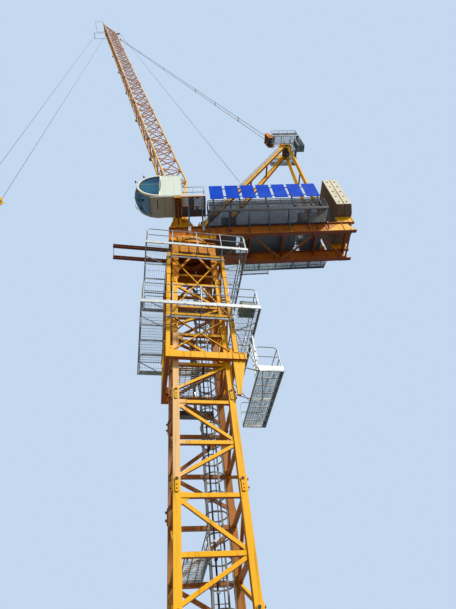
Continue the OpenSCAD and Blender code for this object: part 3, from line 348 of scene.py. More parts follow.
zinc = zinc_finish("zinc", "galvanised_steel", rgb(226, 231, 231), rgb(150, 160, 164))
plate_top, hole_far, hole_near = 6, 161, 114
anchors = Shape()
for s, t in four_corners:
    for x, y in ((hole_far, hole_near), (hole_near, hole_far)):
        place = Vector((s * x, t * y, plate_top))
        anchors.turned(place, (0, 0, 1), [(0, 7), (1.2, 7)], 24)
        anchors.hexagon(place + Vector((0, 0, 1.2)), (0, 0, 1), 10, 5)
        anchors.hexagon(place + Vector((0, 0, 6.4)), (0, 0, 1), 10, 4)
        anchors.turned(place, (0, 0, 1), [(0, 3.2), (17, 3.2), (18, 2.6)], 16)
anchors.make("anchor_studs", zinc, "mast")


# Ladder, rest platforms and cable
# A galvanised ladder in a hooped safety cage climbs inside the mast past two rest platforms,
# and the black supply cable hangs beside it in brackets.
dull_zinc = zinc_finish("dull_zinc", "galvanised_steel", rgb(150, 148, 140), rgb(92, 88, 82))
finish_node(dull_zinc, "mast_ladder")

floor_below_joint = 178
left, right, half_y = -70, -8, 88
guard_x, guard_y = -11, 76
rests = Shape()
for section in (2, 4):
    level = first_joint + section_tall * section - floor_below_joint
    for i in range(1, 18):
        y = -half_y + 2 * half_y * i / 18
        rests.bar((left + 1, y, level + 2), (right - 1, y, level + 2), 0.8, 2.4)
    for x in (-69, -49, -29, -9):
        rests.bar((x, -half_y, level + 1.5), (x, half_y, level + 1.5), 2.4 if x in (-69, -9) else 1.4, 5)
    for y in (-87, 87):
        rests.bar((left, y, level + 1), (right, y, level + 1), 3, 6)
    for y in (-guard_y, 0, guard_y):
        rests.pipe([(guard_x, y, level + 3), (guard_x, y, level + 60)], 3.4)
    for h in (33, 63):
        rests.pipe([(guard_x, -guard_y, level + h), (guard_x, guard_y, level + h)], 3.4)
    rests.bar((guard_x, -guard_y, level + 9), (guard_x, guard_y, level + 9), 1.4, 12)
    rests.plate([(-68, level - 1), (-60, level - 1), (-68, level - 30)], "y", -86, -84)
rests.make("rest_gratings", zinc, "mast", "rest_platforms")

jacket = plain_coat("cable_jacket", "cable_rubber", rgb(26, 26, 27), rgb(44, 42, 40), 0.55)
finish_node(jacket, "power_cable")
ties = Shape()
for z in (215 + 118 * i for i in range(14)):
    ties.turned((10, -40, z), (0, 0, 1), [(0, 3.3), (5, 3.3)], 14)
    ties.box((12.6, -41.2, z), (16, -38.8, z + 5))
ties.make("cable_ties", zinc, "mast")


# Climbing frame
# A taller yellow cage of box sections that slides up the mast on guide rollers, lifted by a
# hydraulic ram whose foot hooks on the mast. Brown loading rails carry each new section in.
finish_node(bright_yellow, "climbing_frame")
brown_yellow = site_paint("brown_yellow", "weathered_paint", rgb(246, 160, 22), rgb(222, 136, 44),
                          rgb(88, 42, 22), 0.6, 0.8)
rail_brown = site_paint("rail_brown", "weathered_paint", rgb(158, 84, 46), rgb(128, 70, 46),
                        rgb(74, 36, 26), 0.6, 0.9)
rail_far, rail_near, rail_z = -365, -100.3, 1952
loading = Shape()
for y in (-100, -40):
    loading.box((rail_far, y - 6, rail_z), (rail_near, y + 6, rail_z + 2.4))
    loading.box((rail_far, y - 1.2, rail_z + 2), (rail_near, y + 1.2, rail_z + 15))
    loading.box((rail_far, y - 6, rail_z + 14.6), (rail_near, y + 6, rail_z + 17))
    loading.box((-123, y - 4, 1905), (-114, y + 4, rail_z + 1))
    loading.box((rail_far, y - 5, rail_z + 2), (rail_far + 3, y + 5, rail_z + 23))
    for x in (-330, -270, -210, -150):
        loading.box((x, y - 5, rail_z + 2), (x + 1.6, y + 5, rail_z + 15))
loading.box((rail_far + 2, -101, rail_z + 3), (rail_far + 4, -39, rail_z + 6))
loading.make("loading_beams", rail_brown, "mast", "loading_rails", edge=0.4)
finish_node(dark_paint, "jacking_ram")

roller_pin = [(0, 4), (2, 4), (3, 3)]
rollers = Shape()
for level in (1305, 1874):
    for s, t in four_corners:
        rollers.turned((s * 118.1, t * 109, level), (s, 0, 0), roller_pin, 16)
        rollers.turned((s * 109, t * 118.1, level), (0, t, 0), roller_pin, 16)
rollers.make("guide_roller_pins", dark_paint, "mast")
frame_ribs = Shape()
for x in (104, 128, 146):
    frame_ribs.box((x, -128.5, 1259), (x + 3, -109, 1289))
frame_ribs.box((104, -128, 1288), (149, -110, 1290.5))
for x in (-118.5, 118.5):
    for z in (1420, 1575, 1740):
        frame_ribs.box((x - 9, -127.6, z), (x + 9, -126, z + 34))
for s, t in four_corners:
    frame_ribs.plate([(s * 111, 1288), (s * 88, 1288), (s * 111, 1316)], "y", t * 121, t * 117)
frame_ribs.make("frame_ribs", bright_yellow, "mast", edge=0.6)
rod = Finish("chromed_rod", "galvanised_steel", Metallic=1.0)
rod.set(Base_Color=rod.mix(rod.noise(60.0), rgb(214, 216, 220), rgb(180, 184, 190)),
        Roughness=0.12 + rod.noise(40.0) * 0.1)
ram_y, rod_r = 118.5, 6.15
ram, sleeve = Shape(), Shape()
ram.turned((0, ram_y, 1350), (0, 0, 1), [(-1, 12.6), (7, 12.6), (7.2, 11.2)], 32)
ram.turned((0, ram_y, 1578), (0, 0, 1), [(0, 11.2), (0.2, 12.6), (9, 12.6), (9.2, 11.2)], 32)
for z in (1372, 1566):
    ram.pipe([(4, 128, z), (6, 131, z), (9, 132, z + 6), (9, 132, z + 12)], 3.2)
ram.make("ram_glands", dark_paint, "mast")
for z, long in ((1214, 45), (1289, 60)):
    sleeve.turned((0, ram_y, z), (0, 0, 1), [(0, rod_r), (long, rod_r)], 32)
sleeve.make("ram_rod_sleeve", rod, "mast")


# Platforms
# Galvanised working platforms bolted round the climbing frame: open grating in an edge channel,
# railings of round tube with toe boards, and knee braces down to the frame.
def grating(shape, x0, x1, y0, y1, z, pitch=5.0, rod=14.0, tall=1.5, lengthwise=False):
    """Open steel grating: upright bars along the short side, or the long one, and rods across."""
    across = (x1 - x0 < y1 - y0) != lengthwise
    long0, long1, short0, short1 = (y0, y1, x0, x1) if across else (x0, x1, y0, y1)
    for along_y, start, end, low, high, step, wide, deep in (
            (not across, long0, long1, short0, short1, pitch, 0.7, tall),
            (across, short0, short1, long0, long1, rod, 0.8, 0.8)):
        count = max(2, round((end - start) / step))
        for i in range(1, count):
            s = start + (end - start) * i / count
            a, b = ((s, low), (s, high)) if along_y else ((low, s), (high, s))
            shape.bar((*a, z - deep / 2), (*b, z - deep / 2), wide, deep)


def channel(shape, a, b, tall=9.0):
    """The channel along a platform's edge. Its lip stands 3 mm above the two points."""
    shape.bar((*a[:2], a[2] - tall / 2 + 3), (*b[:2], b[2] - tall / 2 + 3), 3, tall)


def railing(shape, a, b, posts, bend=10.0, toe=True):
    """A railing of round tube with rounded upper corners, a middle rail and a toe board."""
    a, b, tall, tube = Vector(a), Vector(b), 110.0, 4.0
    along, up = (b - a).normalized(), Vector((0, 0, 1))
    turns = [math.radians(t) for t in range(0, 91, 18)]
    left, right = ([post + up * (tall - bend + bend * math.sin(t)) + inward * (bend - bend * math.cos(t))
                    for t in turns] for post, inward in ((a, along), (b, -along)))
    shape.pipe([a, *left, *reversed(right), b], tube)
    for i in range(1, posts):
        p = a + (b - a) * i / posts
        shape.pipe([p, p + up * tall], tube)
    shape.pipe([a + up * (tall * 0.55), b + up * (tall * 0.55)], tube * 0.9)
    if toe:
        shape.bar(a + up * 6, b + up * 6, 1.6, 12)


cage, reach_x, reach_y = 126.0, 222.0, 192.0
# painted shade: a darker copy of the zinc for the gratings, painting the shade on them as seen from below
shaded_grating_zinc = zinc_finish("shaded_grating_zinc", "galvanised_steel", rgb(96, 120, 130), rgb(60, 82, 92))
# painted light: a lighter copy of the zinc with little shade, which paints full sun on front channels,
# toe boards and stringers
sunlit_zinc = zinc_finish("sunlit_zinc", "galvanised_steel", rgb(248, 250, 248), rgb(206, 212, 212),
                        0.1, 0.3)


def ring_platform(name, node, z, left_pitch):
    """A platform round all four sides of the climbing frame, with its front channel in the lighter zinc
    that paints full sun on it.
    """
    deck, floors, fronts = Shape(), Shape(), Shape()
    top = z + 3
    for x0, x1, y0, y1, pitch in ((-reach_x, reach_x, -reach_y, -cage, 5.0),
                                  (-reach_x, reach_x, cage, reach_y, 7.0),
                                  (-reach_x, -cage, -cage, cage, left_pitch),
                                  (cage, reach_x, -cage, cage, 5.0)):
        grating(floors, x0, x1, y0, y1, top, pitch, 4 * pitch, 2.0, x1 - x0 < y1 - y0)
    for s in (-1, 1):
        for x, y in ((reach_x - 1.5, reach_y - 1.5), (cage + 1.5, cage + 1.5)):
            channel(deck, (-x, s * y, z), (x, s * y, z))
            channel(deck, (s * x, -y, z), (s * x, y, z))
        for x in (-110, 0, 110):
            deck.bar((x, s * cage, z - 3), (x, s * reach_y, z - 3), 3, 5)
        for y in (-80, 0, 80):
            deck.bar((s * cage, y, z - 3), (s * reach_x, y, z - 3), 3, 5)
        for t in (-1, 1):
            deck.pipe([(s * (cage + 2.6), t * (cage - 6), z - 60),
                       (s * (reach_x - 4), t * (cage - 6), z - 2)], 4)
            deck.pipe([(t * (cage - 16), s * (cage + 3), z - 56),
                       (t * (cage - 16), s * (reach_y - 4), z - 4)], 4)
    x, y, gap = reach_x - 3, reach_y - 3, 5.0
    for s in (-1, 1):
        railing(deck, (-x + gap, s * y, top), (x - gap, s * y, top), 4)
    for s in (-1, 1):
        railing(deck, (s * x, -y + gap, top), (s * x, y - gap, top), 3, toe=s > 0)
    fronts.box((-reach_x - 0.4, -reach_y - 0.4, z - 5), (reach_x + 0.4, -reach_y + 1.6, z + 9))
    for x in (-150, -60, 60, 150):
        fronts.box((x - 5, -reach_y - 1.4, z - 4), (x + 5, -reach_y, z + 6))
    fronts.make(name + "_front", sunlit_zinc, "mast", edge=0.5)
    floors.make(name + "_grating", shaded_grating_zinc, "mast")
    deck.make(name, zinc, "mast", node)


ring_platform("upper_deck", "upper_platform", 1872, 10.0)
ring_platform("main_deck", "main_platform", 1467, 3.6)

left, right, front, back, z = 200, 292, -92, 232, 1250
side_deck, side_floor, side_front = Shape(), Shape(), Shape()
grating(side_floor, left + 3, right - 3, front + 3, back - 3, z + 3, 4.4, 10.0, 2.0)
for x in (left + 1.5, right - 1.5):
    channel(side_deck, (x, front, z), (x, back, z), 12)
for y in (front + 1.5, 70, back - 1.5):
    channel(side_deck, (left, y, z), (right, y, z), 12)
for y in (-50, -10, 30, 110, 150, 190):
    side_deck.bar((left + 3, y, z - 4), (right - 3, y, z - 4), 3, 5)
side_deck.bar((214, -88, z - 3), (246, 68, z - 3), 3, 3)
railing(side_deck, (right - 3, front + 8, z + 3), (right - 3, back - 6, z + 3), 4)
for y in (front + 3, back - 3):
    railing(side_deck, (left + 3, y, z + 3), (right - 6, y, z + 3), 1, bend=16)
for y in (-80, 70):
    side_deck.pipe([(cage + 0.5, y, z + 24), (left + 2, y, z)], 5)
for s in (-1, 1):
    side_deck.pipe([(cage + 2, s * 118.5, z + 160), (left + 2, s * 86, z + 1)], 4)
side_deck.make("side_deck", zinc, "mast", "side_platform")
side_floor.make("side_grating", shaded_grating_zinc, "mast")
# the side platform's front channel, in the lighter zinc that paints full sun
side_front.box((left - 0.4, front - 0.6, z - 6), (right + 0.4, front + 1.5, z + 16))
side_front.make("side_front", sunlit_zinc, "mast", edge=0.6)
finish_node(zinc, "platform_ladders")


# Hydraulic unit
# The power pack of the jacking ram on the main platform: a grey-green oil tank with a filler cap
# and sight glass, a finned motor, a pump and black hoses.
def circle(centre, axis, radius, count, turn=0.0):
    """Points evenly spaced round a centre, about the Y or the Z axis."""
    points = []
    for i in range(count):
        a = math.tau * (i + turn) / count
        u, v = radius * math.cos(a), radius * math.sin(a)
        points.append(Vector(centre) + Vector((u, v, 0) if axis == "z" else (u, 0, v)))
    return points


unit_green = plain_coat("unit_enamel", "grey_paint", rgb(132, 150, 144), rgb(84, 96, 92), 0.4)
lid, motor_x, motor_y = 1514, 182, -156
tank, pump = Shape(), Shape()
tank.box((150, -180, lid - 40), (206, -132, lid - 2))
tank.box((148.5, -181.5, lid - 3), (207.5, -130.5, lid))
for x in (154, 196):
    tank.box((x, -178, lid - 44), (x + 6, -134, lid - 39))
tank.turned((160, -172, lid), (0, 0, 1), [(0, 4), (5, 4), (5.2, 5), (8, 5), (9, 4)], 20)
tank.turned((motor_x, motor_y, lid), (0, 0, 1), [(0, 12), (3, 12), (3.2, 9), (12, 9), (12.2, 10.4),
                                                 (14, 10.4), (15.6, 7)], 32)
tank.make("oil_tank", unit_green, "mast", "hydraulic_unit", edge=1.0)
for p in circle((motor_x, motor_y, lid + 3), "z", 9.2, 18):
    pump.bar(p, p + Vector((0, 0, 8)), 0.7, 1.2)
pump.box((160, -150, lid - 1), (174, -138, lid + 12))
pump.turned((167, -160, lid), (0, 0, 1), [(0, 4), (12, 4)], 16)
pump.pipe([(164, -144, 1526), (160, -142, 1530), (152, -138, 1526), (148, -130, 1506),
           (146, -128, 1478)], 2.6, 8)
pump.pipe([(170, -144, 1526), (168, -140, 1528), (158, -132, 1520), (152, -127, 1502),
           (150, -126, 1478)], 2.6, 8)
pump.box((152, -180.6, lid - 30), (156, -180, lid - 10))
for x in (156, 200):
    for z in (lid - 34, lid - 8):
        pump.hexagon((x, -180, z), (0, -1, 0), 3, 1.2)
pump.make("unit_fittings", jacket, "mast")


# Slewing support and turntable
# Boxed and braced steel carries the slewing ring. Its paint is a dull orange-brown, a darker yellow that
# paints the shadow of the ring platform above. The turntable above it runs on the ring's bearing, and its
# plates are bolted down with rows of dark bolts.
slew_at_rest = -8
upper = Matrix.Rotation(math.radians(slew_at_rest), 4, "Z")
# painted shade: the support's paint is darker to stand for the shadow of the ring platform above
shadowed_support_paint = site_paint("shadowed_support_paint", "weathered_paint", rgb(232, 150, 16), rgb(190, 112, 24),
                           rgb(104, 56, 20), 0.6, 0.9)
table_yellow = site_paint("table_yellow", "weathered_paint", rgb(255, 176, 14), rgb(236, 150, 40),
                          rgb(92, 44, 22), 0.5, 0.7)
finish_node(shadowed_support_paint, "slew_support")
finish_node(table_yellow, "turntable")
ring_bolts = Shape()
for low, rim in zip(circle((0, 0, 2049), "z", 94, 40), circle((0, 0, 2081), "z", 108.6, 40)):
    ring_bolts.hexagon(low, (0, 0, -1), 6, 3)
    ring_bolts.hexagon(rim, (rim.x, rim.y, 0), 5, 2.4)
ring_bolts.make("ring_bolts", dark_paint, "mast")
wall, rib_edge, rib_low, rib_top = 100, 106, 1962, 2046
support_ribs = Shape()
for s in (-1, 1):
    for x in (-66, -22, 22, 66):
        support_ribs.plate([(x - 2, 1958), (x + 2, 1958), (x + 2, 2048), (x - 2, 2048)],
                           "y", s * wall, s * 96)
        support_ribs.box((x - 2, s * rib_edge, rib_low), (x + 2, s * wall, rib_top))
        support_ribs.box((s * rib_edge, x - 2, rib_low), (s * wall, x + 2, rib_top))
    support_ribs.box((-wall, s * rib_edge, rib_top - 4), (wall, s * wall, rib_top))
    support_ribs.box((s * rib_edge, -wall, rib_top - 4), (s * wall, wall, rib_top))
support_ribs.make("support_ribs", shadowed_support_paint, "mast", edge=0.6)
table_low, table_front = 2094, -105
table = Shape(upper)
for s in (-1, 1):
    for x in (-96, -60, 96, 118):
        table.box((x - 2, s * 92, table_low), (x + 2, s * 96.5, table_low + 30))
    for x in (-90, -60, -30, 0):
        table.hexagon((x, s * 86, 2217), (0, 0, 1), 7, 4)
    table.box((table_front - 1, s * 60 - 3, 2126), (table_front + 0.1, s * 60 + 3, 2209))
for y in (-40, -14, 14, 40):
    table.box((table_front - 3.5, y - 1.5, table_low), (table_front, y + 1.5, 2208))
table.box((table_front - 3.5, -60, 2150), (table_front, 60, 2153))
table.make("turntable_ribs", table_yellow, "upper_works", edge=0.5)
foot_x, foot_y, foot_z = -50, 70, 2380
jib_pins = Shape(upper)
for s, t in four_corners:
    jib_pins.turned((foot_x, s * foot_y + t * 15, foot_z), (0, t, 0),
                    [(0, 7.8), (1.6, 7.8), (2.4, 6.6)], 28)
    jib_pins.hexagon((foot_x, s * foot_y + t * 17.4, foot_z), (0, t, 0), 9, 2.5)
jib_pins.make("jib_pivot_nuts", dark_paint, "upper_works")


# Slewing drives
# Two geared motors stand on the turntable: a yellow gearbox, a finned grey motor with a domed
# fan cover, and the grey junction box on its side.
grey_paint = plain_coat("grey_enamel", "grey_paint", rgb(168, 176, 178), rgb(118, 126, 128), 0.45)
drive_x = 96
gears, motors = Shape(upper), Shape(upper)
for y in (-52, 52):
    gears.turned((drive_x, y, 2125), (0, 0, 1), [(0, 15), (6, 15), (6.1, 12), (40, 12), (40.1, 14),
                                                 (46, 14), (46.1, 12.2), (76, 12.2), (76.1, 10)], 40)
    for p in circle((drive_x, y, 2131), "z", 13.2, 10):
        gears.hexagon(p, (0, 0, 1), 2.6, 2)
    motors.turned((drive_x, y, 2201), (0, 0, 1), [(0, 11), (3, 11), (3.1, 7.6), (30, 7.6), (30.1, 8.6),
                                                  (36, 8.6), (38, 6), (38.5, 2)], 40)
    for p in circle((drive_x, y, 2205), "z", 8.4, 20):
        motors.bar(p, p + Vector((0, 0, 25)), 0.7, 1.6)
    motors.box((drive_x - 10, y - 5, 2210), (drive_x - 16, y + 5, 2222))
gears.make("slew_gearboxes", bright_yellow, "upper_works", "slew_drives")
motors.make("slew_motors", grey_paint, "upper_works")


# Counter-jib
# Two welded plate girders with stiffeners carry the machinery. Their lower flanges are
# laced with angles, and their far ends run out into slanted plates.
# painted shadow: the girders' paint is darker than the yellow, for the walkways' shadow on them, together
# with dirt
girder_shadow_and_dirt = site_paint("girder_shadow_and_dirt", "weathered_paint", rgb(214, 120, 44), rgb(236, 146, 44),
                          rgb(112, 56, 36), 0.7, 0.9)
finish_node(brown_yellow, "counter_jib_lacing")
girder_y, girder_low, girder_top, near_end, far_end = 83, 2125, 2210, -105, 814
girders, ends = Shape(upper), Shape(upper)
for s in (-1, 1):
    y = s * girder_y
    girders.box((near_end, y - 9, girder_low), (840, y + 9, girder_low + 3.5))
    girders.box((near_end, y - 9, girder_top - 3.5), (far_end, y + 9, girder_top))
    girders.box((near_end, y - 1.6, girder_low + 3), (far_end, y + 1.6, girder_top - 3))
    for x in (136, 301, 472, 643, 780):
        for t in (-1, 1):
            girders.box((x - 1.2, y + t * 1.5, girder_low + 3), (x + 1.2, y + t * 8, girder_top - 3))
    for x in (430, 640):
        girders.box((x - 16, y + s * 1.5, 2134), (x + 16, y + s * 4, 2201))
    low, high = sorted((s * 85, s * 88.5))
    ends.plate([(690, 2129), (840, 2129), (810, 2192), (760, 2192)], "y", low, high)
    for x in (150, 330, 500, 664):
        ends.plate([(x - 46, 2129), (x + 46, 2129), (x + 20, 2138), (x - 20, 2138)], "y", low, high)
    ends.box((far_end - 50, y - 7, girder_top - 1), (far_end + 40, y + 7, 2264.8))
    for x in (770, 794, 824, 848):
        ends.box((x - 1.5, y - 9, 2211), (x + 1.5, y + 9, 2262))
for x, y in ((130, 82), (301, 82), (472, 82), (643, 82), (far_end - 8, 84)):
    girders.box((x, -y, 2170), (x + 8, y, 2173))
    girders.box((x, -y, 2199), (x + 8, y, 2202))
    girders.box((x + 3, -y, 2172), (x + 5, y, 2200))
girders.box((far_end - 6, -90, girder_low + 3), (far_end, 90, 2138))
girders.make("counter_girders", girder_shadow_and_dirt, "upper_works", "counter_jib", edge=0.4)
ends.make("girder_ends", bright_yellow, "upper_works", edge=0.5)
gusset_z = girder_low - 1.4
gussets, girder_bolts = Shape(upper), Shape(upper)
for x in (138 + 165.5 * i for i in range(5)):
    for s in (-1, 1):
        gussets.plate([(x - 22, s * 92), (x + 22, s * 92), (x + 12, s * 64), (x - 12, s * 64)],
                      "z", gusset_z, girder_low)
        for dx, y in ((-12, 86), (0, 86), (12, 86), (-6, 72), (6, 72)):
            girder_bolts.hexagon((x + dx, s * y, gusset_z), (0, 0, -1), 4, 1.6)
for s in (-1, 1):
    for x in (420, 432, 440, 628, 640, 652):
        for z in (2142, 2158, 2176, 2192):
            girder_bolts.hexagon((x, s * (girder_y + 4), z), (0, s, 0), 4, 1.4)
gussets.make("girder_gussets", girder_shadow_and_dirt, "upper_works")
girder_bolts.make("girder_bolts", dark_paint, "upper_works")


# Machinery deck and walkways
# Plain plate and open grating on light joists between the girders, with a dark grey walkway on
# the cab side and a galvanised one on the other, each behind a railing filled with wire mesh.
worn_dark = zinc_finish("worn_grating", "dark_steel", rgb(50, 56, 70), rgb(28, 31, 40))
deck_dark = zinc_finish("deck_plate", "dark_steel", rgb(58, 60, 78), rgb(30, 32, 46))
deck_near, deck_far, deck_y, deck_z = 125, 690, 92, 2215
deck = Shape(upper)
for x0, x1 in ((deck_near + 2, 238), (310, 546), (606, deck_far - 2)):
    deck.box((x0, 2 - deck_y, girder_top + 1), (x1, deck_y - 2, deck_z - 0.4))
for x0, x1 in ((238, 310), (546, 606)):
    grating(deck, x0, x1, 2 - deck_y, deck_y - 2, deck_z - 0.6, 6.0, 12.0)
for x0, x1 in ((deck_near, deck_near + 2), (deck_far - 2, deck_far)):
    deck.box((x0, -deck_y, girder_top), (x1, deck_y, deck_z))
for s in (-1, 1):
    deck.box((deck_near, s * (deck_y - 2), girder_top), (deck_far, s * deck_y, deck_z))
    for edge in (deck_y, 68):
        deck.box((32, s * (edge - 2), girder_top), (126, s * edge, deck_z))
    low, high = sorted((s * 68, s * (deck_y - 2)))
    grating(deck, 32, 126, low, high, deck_z - 1, 6.5, 12.0)
for x in (170, 215, 258, 344, 388, 430, 516, 560, 602, 674):
    deck.box((x, 2 - deck_y, girder_top), (x + 3, deck_y - 2, girder_top + 3))
for y in (-32, 32):
    deck.box((deck_near + 2, y - 3, girder_top - 0.6), (deck_far - 2, y + 3, deck_z - 0.4))
for x0, x1, wide in ((262, 342, 48), (448, 552, 54)):
    deck.box((x0, -wide, girder_top), (x1, wide, deck_z - 0.1))
for x0, x1, y0, y1 in ((583, deck_far, -86, -28), (583, deck_far, 28, 86), (168, 242, -88, -48)):
    deck.box((x0, y0, girder_top), (x1, y1, deck_z - 0.1))
deck.make("deck_grating", deck_dark, "upper_works", "machinery_deck")


def wire_mesh(shape, corner, u, v, nu, nv, wire):
    """A mesh panel: straight wires between corner, corner + u and corner + v."""
    corner, u, v = Vector(corner), Vector(u), Vector(v)
    for i in range(1, nu):
        shape.bar(corner + u * i / nu, corner + u * i / nu + v, wire, wire)
    for i in range(1, nv):
        shape.bar(corner + v * i / nv, corner + v * i / nv + u, wire, wire)


def walkway(x0, x1, inner, outer, brackets, posts, wire, pitch):
    """Grating on bracketed beams beside a girder, behind a railing filled with mesh."""
    path = Shape(upper)
    low, high = sorted((inner, outer))
    beam_z, side = girder_top - 3.5, math.copysign(1, outer)
    grating(path, x0 + 3, x1 - 3, low + 2, high - 2, girder_top, pitch, 14.0, 3.0, True)
    for y in (low + 1.5, high - 1.5):
        path.bar((x0, y, beam_z), (x1, y, beam_z), 3, 8)
    for x in (x0 + 1.5, x1 - 1.5):
        path.bar((x, low, beam_z), (x, high, beam_z), 3, 8)
    for i in range(brackets + 1):
        x = x0 + 3 + (x1 - x0 - 6) * i / brackets
        path.bar((x, inner, 2204), (x, outer, 2204), 3, 5)
        path.bar((x, side * 86.4, 2155), (x, outer, 2203), 3.6, 3.6)
        path.bar((x, side * 93, 2152), (x, side * 93, 2206), 3.2, 3)
    railing(path, (x0 + 3, outer, girder_top), (x1 - 3, outer, girder_top), posts)
    mesh_tall = 104
    wire_mesh(path, (x0 + 8, outer - side * 2.4, girder_top + 2), (x1 - x0 - 16, 0, 0),
              (0, 0, mesh_tall), round((x1 - x0) / wire), round(mesh_tall / wire), 0.9)
    return path


teal_zinc = zinc_finish("teal_zinc", "galvanised_steel", rgb(104, 130, 136), rgb(62, 86, 94))
near_path = walkway(92, 705, -92, -178, 6, 8, 3.2, 2.6)
railing(near_path, (95, -175, girder_top), (95, -128, girder_top), 1, bend=14)
near_path.make("near_path", worn_dark, "upper_works", "near_walkway")
far_path = walkway(270, 730, 92, 190, 5, 6, 7.0, 4.0)
grating(far_path, 264, 418, 191, 212, girder_top, 6.0, 12.0)
for x0, y0, x1, y1 in ((262, 212.5, 420, 212.5), (263.5, 189, 263.5, 214), (418.5, 189, 418.5, 214)):
    far_path.bar((x0, y0, girder_top - 3.5), (x1, y1, girder_top - 3.5), 3, 8)
for x in (266, 341, 416):
    far_path.bar((x, 189, 2166), (x, 212, 2203), 3, 3)
far_path.make("far_path", teal_zinc, "upper_works", "far_walkway")


# Winches
# The hoist and luffing winches: plate stands bolted to skids, a drum wound with greased wire
# rope, and a finned motor with its terminal box.
rope_steel = zinc_finish("rope_steel", "wire_rope", rgb(96, 94, 90), rgb(48, 46, 44))


def winch(name, node, x, core, wide, z, rope_r):
    """A winch across the deck at x, with its drum's core diameter, width and height."""
    stand, wound, motor, coil = Shape(upper), Shape(upper), Shape(upper), Shape(upper)
    r, end = core / 2, wide / 2
    for s in (-1, 1):
        y = s * (end + 5)
        stand.plate([(x - r - 8, deck_z), (x + r + 8, deck_z), (x + r * 0.8, z),
                     (x + r * 0.55, z + r * 0.6), (x, z + r * 0.8), (x - r * 0.55, z + r * 0.6),
                     (x - r * 0.8, z)], "y", y - 3, y + 3)
        stand.turned((x, y + s * 3, z), (0, s, 0), [(0, 11), (3, 11), (3.2, 8), (5, 8)], 28)
        wound.turned((x, s * end, z), (0, s, 0), [(-2, r + 7), (2, r + 7)], 40)
        for p in circle((x, y + s * 6, z), "y", 8.6, 6):
            stand.hexagon(p, (0, s, 0), 2.4, 1.2)
    stand.box((x - r - 12, -end - 8, deck_z), (x + r + 12, end + 8, deck_z + 5))
    for dx in (-r - 9, r + 9):
        for y in (-end, 0, end):
            stand.hexagon((x + dx, y, deck_z + 5), (0, 0, 1), 5, 3)
    turns = int(wide / 2.6)
    coils = [(2 + i * (wide - 4) / (turns * 2), rope_r + (1.1 if i % 2 else 0.1))
             for i in range(turns * 2 + 1)]
    coil.turned((x, -end, z), (0, 1, 0), [(2, r - 4), *coils, (wide - 2, r - 4)], 32)
    coil.make(name + "_coils", rope_steel, "upper_works")
    motor.turned((x, end + 6, z), (0, 1, 0), [(0, r * 0.5), (4, r * 0.55), (17, r * 0.55),
                                              (18, r * 0.48), (20, r * 0.3)], 28)
    for p in circle((x, end + 10, z), "y", r * 0.57, 14):
        motor.bar(p, p + Vector((0, 12, 0)), 0.8, 1.4)
    motor.box((x - 7, end + 10, z + r * 0.5), (x + 7, end + 21, z + r * 0.5 + 7))
    stand.make(name + "_stand", dark_paint, "upper_works", node, edge=0.5)
    wound.make(name + "_flanges", brown_yellow, "upper_works")
    motor.make(name + "_motor", grey_paint, "upper_works")


hoist_x, hoist_z = 500, 2261
winch("hoist_winch_detail", "hoist_winch", hoist_x, 56, 80, hoist_z, 27.6)
winch("luffing_winch_detail", "luffing_winch", 300, 48, 70, 2257, 24.5)


# Electrical cabinets
# Three grey sheet-steel cabinets with folded doors, louvres, hinges and a rain roof on each, and
# the black cables that run from them to the winches and the slewing drives.
doors, fittings = Shape(upper), Shape(upper)
for x0, x1, y0, y1, tall in ((585, 680, -84, -30, 120), (585, 680, 30, 84, 120),
                             (170, 240, -86, -50, 90)):
    top, middle_z, mid = deck_z + tall, deck_z + tall * 0.5, (x0 + x1) / 2
    doors.box((x0, y0, deck_z), (x1, y1, top - 3))
    doors.box((x0 - 2, y0 - 2, top - 3), (x1 + 2, y1 + 2, top))
    face, out = (y0, -1) if y0 < 0 else (y1, 1)
    for a, b in ((x0 + 4, mid - 1), (mid + 1, x1 - 4)):
        doors.box((a, face, deck_z + 6), (b, face + out * 1.6, top - 8))
        for i in range(7):
            z = deck_z + 17 + 3.4 * i
            fittings.bar((a + 8, face + out * 1.8, z), (b - 8, face + out * 1.8, z), 0.8, 1.2)
    for z in (deck_z + 21, top - 24):
        for x in (x0 + 4, x1 - 4):
            fittings.pipe([(x, face + out * 2, z), (x, face + out * 2, z + 9)], 2.2)
    fittings.box((mid - 5, face + out * 1.6, middle_z), (mid - 3, face + out * 3.4, middle_z + 16))
doors.make("cabinet_bodies", grey_paint, "upper_works", "electrical_cabinets", edge=0.8)
fittings.make("cabinet_fittings", dark_paint, "upper_works")
loom = Shape(upper)
lie = deck_z + 2
for i, y in enumerate((-26, -22, -18, 18, 22)):
    loom.pipe([(250, y, lie), (420 + 4 * i, y, lie), (425 + 4 * i, y, lie), (584, y, lie)], 3, 8)
for y in (-22, 22):
    loom.pipe([(582, y, lie), (582, y * 1.9, lie + 2), (582, y * 1.9, 2260)], 3, 8)
loom.pipe([(drive_x, -40, 2250), (120, -44, 2236), (150, -48, 2222), (170, -52, 2222)], 3, 8)
loom.pipe([(drive_x, 40, 2250), (120, 20, 2236), (150, -20, 2220), (170, -54, 2226)], 3, 8)
loom.make("cable_loom", jacket, "upper_works")


# Counterweights
# Two cast concrete slabs in cream paint stand on edge across the girder ends. Bolts in recesses
# line their narrow faces, the shade in each recess painted as a dark disc, and lifting loops are cast
# into the tops.
cream_cement = Finish("painted_concrete", "concrete", Specular_IOR_Level=0.25)
facing = cream_cement.place("Normal")
